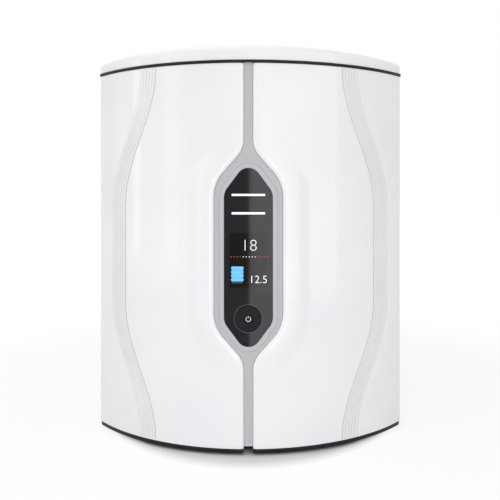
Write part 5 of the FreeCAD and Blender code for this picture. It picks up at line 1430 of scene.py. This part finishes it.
def lamp_cap(low, high):
    """A closed cap with chamfered edges and a fluted wall."""
    inner = LAMP_CAP - LAMP_CAP_EDGE
    profile = [(0, low), (inner, low), (LAMP_CAP, low + LAMP_CAP_EDGE)]
    profile += [(LAMP_CAP, high - LAMP_CAP_EDGE), (inner, high), (0, high)]
    depths = np.array([0, 0, 1, 1, 0, 0]) * LAMP_CAP_DEPTH
    return turned(profile, chamber_place, steps=192, flutes=LAMP_CAP_FLUTES, depth=depths)


lower_cap = lamp_cap(lamp_caps_low[2], chamber_low[2])
upper_cap = lamp_cap(chamber_high[2], lamp_caps_high[2])
piece("lamp_caps", joined(lower_cap, upper_cap), black_abs, ("uv_end_caps",))
inner, outer = CHAMBER_RADIUS - 0.2, CHAMBER_RADIUS + RIM_PROUD
rims = [
    ring(inner, outer, low, low + RIM_HEIGHT, 0.5, chamber_place, steps=WIDE_STEPS)
    for low in (chamber_low[2] + 0.1, chamber_high[2] - 0.1 - RIM_HEIGHT)
]
piece("chamber_rims", joined(*rims), chamber_steel)

# %% [markdown]
# The docks get moulded ribs on their fronts and a small lens that shows that a pack is seated. The
# doors are stiffened inside by two curved ribs each, which show when a door is open.

# %% Ribs and lenses
dock_low, dock_high = box("right_dock")
dock_middle, dock_face = (dock_low[0] + dock_high[0]) / 2, dock_low[1]
DOCK_RIBS, DOOR_RIBS = (16.0, 22.0, 28.0, 34.0, 40.0), (112.0, 324.0)
DOCK_RIB_SIZE, LENS_SIZE, LENS_LEVEL = (84, 2.2), (12, 3.6), 51
RIB_NEAR, RIB_FAR, RIB_DEPTH, RIB_HEIGHT, RIB_EDGE = 52.0, 158.0, 6.0, 2.4, 0.5


def on_dock(level, width, height, proud, edge):
    """The same plate on the face of both docks, rooted a tenth of a millimetre in it."""
    places = [pill(side * dock_middle, level, width, height) for side in (-1, 1)]
    return [plate(place, dock_face - proud, dock_face + 0.1, edge) for place in places]


dock_ribs = [rib for level in DOCK_RIBS for rib in on_dock(level, *DOCK_RIB_SIZE, 0.9, RIB_EDGE)]
piece("dock_ribs", joined(*dock_ribs), pale_abs)
lenses = on_dock(LENS_LEVEL, *LENS_SIZE, 0.8, 0.6)
piece("dock_lenses", joined(*lenses), blue_figure)


def door_rib(level):
    """A curved rib: its section goes round a small rectangle, and the section is carried along the
    inside of the bow."""
    x = np.linspace(RIB_NEAR, RIB_FAR, 33)
    root, tip = bow_radius - DOOR_WALL + 0.2, bow_radius - DOOR_WALL - RIB_DEPTH
    section = [(root, 0), (tip + RIB_EDGE, 0), (tip, RIB_EDGE), (tip, RIB_HEIGHT - RIB_EDGE)]
    section += [(tip + RIB_EDGE, RIB_HEIGHT), (root, RIB_HEIGHT)]
    rows = [np.column_stack([x, bow(x, reach), x * 0 + level + rise]) for reach, rise in section]
    return capped(np.array(rows).transpose(1, 0, 2))


ribs = joined(*[door_rib(level) for level in DOOR_RIBS])
both_sides("door_ribs", ribs, door_white, "door")

# %% [markdown]
# At the back, each water port gets a fluted grip and the feed and the product port a blue ring, so
# that they are told apart. The screws get black crosses, painted shade for a cross recess that is
# not cut, and a bare foil label marks the place of the rating plate. The pump's motor, inside, gets
# its cooling fins.

# %% Rear details and the motor's fins
ports_low, ports_high = box("rear_water_ports")
port_level = (ports_low[2] + ports_high[2]) / 2
PORT_PLACES = (-140.0, -105.0, -70.0, 33.0)
PORT_INNER, PORT_GRIP, PORT_MARK = 8.9, 10.8, 10.0
PORT_GRIP_DEPTHS, PORT_MARK_DEPTHS = (156.0, 165.0), (151.0, 153.6)
PORT_FLUTES, PORT_FLUTE_DEPTH = 20, 1.0
grips = [
    ring(PORT_INNER, PORT_GRIP, *PORT_GRIP_DEPTHS, 0.8, (x, port_level), "y", 160, PORT_FLUTES,
         PORT_FLUTE_DEPTH)
    for x in PORT_PLACES
]
piece("port_grips", joined(*grips), pale_abs)
marks = [
    ring(PORT_INNER, PORT_MARK, *PORT_MARK_DEPTHS, 0.4, (x, port_level), "y")
    for x in (PORT_PLACES[0], PORT_PLACES[3])
]
piece("port_rings", joined(*marks), blue_cap)

screws_low, screws_high = box("rear_panel_screws")
SCREW_HEAD, CROSS_LONG, CROSS_WIDE = 3.6, 3.8, 0.9
screw_x = screws_high[0] - SCREW_HEAD
screw_levels = np.linspace(screws_low[2] + SCREW_HEAD, screws_high[2] - SCREW_HEAD, 4)
# painted shade: black crosses on the heads stand for the dark inside a cross recess
recess_shades = [
    plate(pill(side * screw_x, level, *size, 0.3), screws_high[1] + 0.02, screws_high[1] - 0.1, 0.0)
    for side in (-1, 1)
    for level in screw_levels
    for size in ((CROSS_LONG, CROSS_WIDE), (CROSS_WIDE, CROSS_LONG))
]
piece("screw_recesses", joined(*recess_shades), black_abs)

FOIL_PLACE, FOIL_SIZE, FOIL_CORNER, FOIL_PROUD = (20, 150), (76, 44), 2.0, 0.15
panel_rear = box("rear_panel")[1][1]
foil = pill(*FOIL_PLACE, *FOIL_SIZE, FOIL_CORNER)
foil = plate(foil, panel_rear + FOIL_PROUD, panel_rear - 0.1, 0.0)
piece("bare_rating_label", foil, foil_label)

motor_low, motor_high = box("pump_motor")
motor_place = (motor_low[:2] + motor_high[:2]) / 2
motor_radius = (motor_high[0] - motor_low[0]) / 2
FIN_PROUD, FIN_COUNT, FIN_DEPTH, FIN_START, FIN_STOP = 2.2, 36, 2.0, 14, 10
fin_levels = (motor_low[2] + FIN_START, motor_high[2] - FIN_STOP)
fins = ring(motor_radius - 0.2, motor_radius + FIN_PROUD, *fin_levels, 0.8, motor_place, steps=288,
            flutes=FIN_COUNT, depth=FIN_DEPTH)
piece("motor_fins", fins, motor_paint)

# %% [markdown]
# The other nodes keep their CAD shape. Modifiers merge their loose triangles and round the edges a
# little, because no real edge is perfectly sharp, and a rounded edge catches a line of light. The
# CAD meshes themselves stay as they are.

# %% Softened CAD nodes
WELD, FLAT_ANGLE, EDGE_ANGLE, EDGE_SEGMENTS = 0.01, 0.5, 40, 2


def soften(node, width, material):
    """Merge the CAD triangles of each flat face, round the real edges by a width in millimetres and
    keep the flat faces' normals."""
    item = bpy.data.objects[node]
    item.data.materials.clear()
    item.data.materials.append(material)
    weld = item.modifiers.new("weld", "WELD")
    weld.merge_threshold = WELD * MM
    flat = item.modifiers.new("flat faces", "DECIMATE")
    flat.decimate_type = "DISSOLVE"
    flat.angle_limit = math.radians(FLAT_ANGLE)
    bevel = item.modifiers.new("soft edges", "BEVEL")
    bevel.width = width * MM
    bevel.segments = EDGE_SEGMENTS
    bevel.limit_method = "ANGLE"
    bevel.angle_limit = math.radians(EDGE_ANGLE)
    bevel.harden_normals = True


print("edges sharper than", EDGE_ANGLE, "degrees get rounded")

# %% [markdown]
# One table says which finish and which edge every node gets: bent sheet has an edge of a few
# tenths, a moulded housing one of half a millimetre or more, and rubber a full one.

# %% Finishes of the CAD nodes
CAD_FINISHES = (
    (0.5, dark_trim, "base_plinth top_deck"),
    (1.0, rubber, "rubber_feet"),
    (0.6, rubber, "pump_mounts"),
    (0.6, panel_white, "left_side_panel right_side_panel"),
    (0.3, panel_white, "rear_panel bulkhead"),
    (0.4, zinc, "rear_panel_screws"),
    (0.3, zinc, "door_pivot_pins left_door_magnets right_door_magnets"),
    (0.2, zinc, "door_strike_plates"),
    (0.2, smoked_glass, "display_glass"),
    (0.8, black_abs, "solenoid_coils"),
    (0.6, black_abs, "pump_body leak_sensor"),
    (0.5, black_abs, "display_housing power_inlet"),
    (0.4, black_abs, "pump_cover power_switch"),
    (0.3, black_abs, "dial_encoder"),
    (0.2, black_abs, "display_screen fuse_drawer"),
    (0.1, board_green, "display_board control_board"),
    (0.8, pale_abs, "left_dock right_dock"),
    (0.5, pale_abs, "uv_clamps ultrafilter_clamps"),
    (0.8, polypropylene, "left_purification_pack right_purification_pack valve_manifold"),
    (0.5, polypropylene, "dock_nozzles"),
    (0.2, polypropylene, "pump_impeller"),
    (0.1, polypropylene, "drain_tube pump_tube pack_tube product_tube"),
    (0.3, chamber_steel, "uv_chamber"),
    (0.4, quartz, "uv_lamp"),
    (0.8, motor_paint, "pump_motor"),
    (0.6, sheet_aluminium, "power_supply uv_ballast"),
    (0.3, brass, "board_standoffs"),
    (0.5, grey_abs, "rear_water_ports port_nuts"),
    (0.1, blue_polyethylene, "feed_tube"),
)
for width, material, nodes in CAD_FINISHES:
    for node in nodes.split():
        soften(node, width, material)
print(sum(len(nodes.split()) for _, _, nodes in CAD_FINISHES), "CAD nodes have their finish")

# %% [markdown]
# The studio
#
# The floor is a pale sheet. Close to the object it is a real diffuse surface, which holds the soft
# shadow; its paper is darker than the white further out, so the darker band round the cabinet is
# real shadow and partly painted shade. Further out it turns into plain white, first in part, so
# that an open door still throws a faint shadow, and then wholly, and the white comes in sooner
# towards the sides, which paints the shadow shorter there. The world is white for what the camera
# and the reflections see, and softer for the light that it gives.

# %% What a ray sees
FLOOR_REACH = 6000.0
WORLD_LIGHT = 0.52
SHADOW_NEAR, SHADOW_FAR, SHADOW_SHARE = 14.0, 35.0, 0.78
SHADOW_THIN = 1.4
SHEET_NEAR, SHEET_FAR = 450.0, 900.0
SHEET_WHITE = 1.07


def seen_directly(tree):
    """1 for what the camera, a reflection or a clear body sees, and 0 for plain light."""
    path = add(tree, "LightPath").outputs
    seen = path["Is Camera Ray"]
    for ray in ("Is Glossy Ray", "Is Transmission Ray"):
        seen = add(tree, "Math", (seen, path[ray]), operation="MAXIMUM")
    return seen


print("the floor keeps its shadow out to", SHADOW_FAR, "mm")

# %% [markdown]
# The shadow is kept where the distance from the cabinet's plan is small. It could be masked with a
# picture, but a few sums of the place do it exactly and at any size.

# %% The distance from the cabinet's plan
def plan_distance(tree, place):
    """How far a point is outside the cabinet's plan, in metres: the largest of its distances past
    the bow, past the sides and past the rear. A share of the square of the distance from the middle
    is added, so that the shadow is painted out sooner towards the sides."""
    flat = add(tree, "VectorMath", (place, (0, bow_centre * MM, 0)), operation="SUBTRACT")
    reach = add(tree, "VectorMath", (flat,), operation="LENGTH").outputs["Value"]
    bow_past = add(tree, "Math", (reach, bow_radius * MM), operation="SUBTRACT")
    x, y, _ = add(tree, "SeparateXYZ", (place,)).outputs
    across = add(tree, "Math", (x,), operation="ABSOLUTE")
    side = add(tree, "Math", (across, half_width * MM), operation="SUBTRACT")
    rear = add(tree, "Math", (y, cabinet_rear * MM), operation="SUBTRACT")
    front = add(tree, "Math", (y, pivot_y * MM), operation="LESS_THAN")
    bow_part = add(tree, "Math", (bow_past, front), operation="MULTIPLY")
    past = add(tree, "Math", (side, rear), operation="MAXIMUM")
    most = add(tree, "Math", (bow_part, past), operation="MAXIMUM")
    # painted light: white is mixed into the shadow sooner towards the sides, which shortens it
    # there
    square = add(tree, "Math", (x, x), operation="MULTIPLY")
    thin = add(tree, "Math", (square, SHADOW_THIN), operation="MULTIPLY")
    return add(tree, "Math", (most, thin), operation="ADD")


print("the shadow thins by", SHADOW_THIN, "times the square of the place across")

# %% [markdown]
# Real studio paper is lit evenly by lamps of its own. Here it mixes paper that takes the shadow
# with a plain white that only cameras and reflections see, so that it adds no light to the object.

# %% The studio sheet
def studio_sheet():
    """Paper near the object, which takes its shadow, and plain white further out: the share of
    white grows with the distance from the plan, and then with the distance from the middle."""
    material = bpy.data.materials.new("pale studio sheet")
    tree = empty_tree(material)
    place = add(tree, "TexCoord").outputs["Object"]
    # painted shade: this paper is darker than the white further out, so the floor darkens near the
    # cabinet even where no shadow falls
    paper = add(tree, "BsdfDiffuse", {"Color": wandering(tree, place, 400, "#E4E4E6", "#E7E7E9")})
    white = add(tree, "Emission", {"Color": linear("#FFFFFF"), "Strength": SHEET_WHITE})
    past = plan_distance(tree, place)
    reach = add(tree, "VectorMath", (place,), operation="LENGTH").outputs["Value"]
    near = add(tree, "MapRange", (past, SHADOW_NEAR * MM, SHADOW_FAR * MM, 0, SHADOW_SHARE))
    away = add(tree, "MapRange", (reach, SHEET_NEAR * MM, SHEET_FAR * MM, 0, 1 - SHADOW_SHARE))
    whole = add(tree, "Math", (near, away), operation="ADD")
    share = add(tree, "Math", (whole, seen_directly(tree)), operation="MULTIPLY")
    add(tree, "OutputMaterial", {"Surface": add(tree, "MixShader", (share, paper, white))})
    return material


def studio_floor():
    """One large square at the level of the feet."""
    reach = FLOOR_REACH * MM
    mesh = bpy.data.meshes.new("studio_floor")
    corners = [(-reach, -reach, 0), (reach, -reach, 0), (reach, reach, 0), (-reach, reach, 0)]
    mesh.from_pydata(corners, [], [(0, 1, 2, 3)])
    mesh.materials.append(studio_sheet())
    floor = in_scene("studio_floor", mesh)


studio_floor()
print("the floor is", 2 * FLOOR_REACH * MM, "m wide")

# %% [markdown]
# The world works the same way: white to look at, and softer as a light.

# %% The world
world = bpy.data.worlds.new("white studio")
bpy.context.scene.world = world
tree = empty_tree(world)
soft = add(tree, "Background", {"Color": linear("#FFFFFF"), "Strength": WORLD_LIGHT})
white = add(tree, "Background", {"Color": linear("#FFFFFF"), "Strength": 1.0})
both = add(tree, "MixShader", (seen_directly(tree), soft, white))
add(tree, "OutputWorld", {"Surface": both})
print("the world gives a light of", WORLD_LIGHT)

# %% [markdown]
# Two tall softboxes light the front, and narrow ones beside them draw upright bands of light into
# the doors. The edge of one makes the sharp border down the middle of the glass. A large panel
# above lights the cover.

# %% Softboxes
def softbox(name, middle, aim, width, height, radiance):
    """A panel light from its brightness: an area light's power is pi times its area times that."""
    light = bpy.data.lights.new(name, "AREA")
    light.shape = "RECTANGLE"
    light.size = width * MM
    light.size_y = height * MM
    light.energy = radiance * math.pi * width * height * MM * MM
    lamp = in_scene(name, light)
    lamp.location = [c * MM for c in middle]
    way = Vector([a - m for a, m in zip(aim, middle)])
    lamp.rotation_euler = way.to_track_quat("-Z", "Y").to_euler()
    lamp.visible_camera = False
    print(f"{name}: {width} by {height} mm, {light.energy:.2f} W")


softbox("left_softbox", (-1050, -520, 480), (0, -40, 400), 1145, 960, 0.48)
softbox("far_left_strip", (-1588, -469, 480), (-127, -132, 300), 160, 840, 1.2)
softbox("left_strip", (-1255, -1073, 450), (-65, -160, 300), 300, 900, 0.5)
softbox("right_softbox", (457, -975, 400), (0, -100, 350), 1080, 800, 0.9)
softbox("glass_softbox", (11, -640, 168), (11, -165, 168), 46, 334, 4.9)
softbox("top_softbox", (-300, -200, 1600), (0, 0, 400), 1600, 1600, 0.85)

# %% [markdown]
# The camera stands close in front, a little above the middle and to the right, and looks straight
# ahead, so upright lines stay upright. A small shift frames the object as in the photograph.

# %% Camera, sizes and end
LENS, SENSOR = 45.0, 36.0
SHIFT_X, SHIFT_Y = -0.0326, -0.12
CAMERA_PLACE = (19.6, -850.5, 290.3)
camera_data = bpy.data.cameras.new("front_camera")
camera_data.lens, camera_data.sensor_width = LENS, SENSOR
camera_data.shift_x, camera_data.shift_y = SHIFT_X, SHIFT_Y
camera = in_scene("front_camera", camera_data)
camera.location = [c * MM for c in CAMERA_PLACE]
camera.rotation_euler = (math.radians(90), 0, 0)
bpy.context.scene.camera = camera
bpy.context.scene.view_settings.view_transform = "Standard"
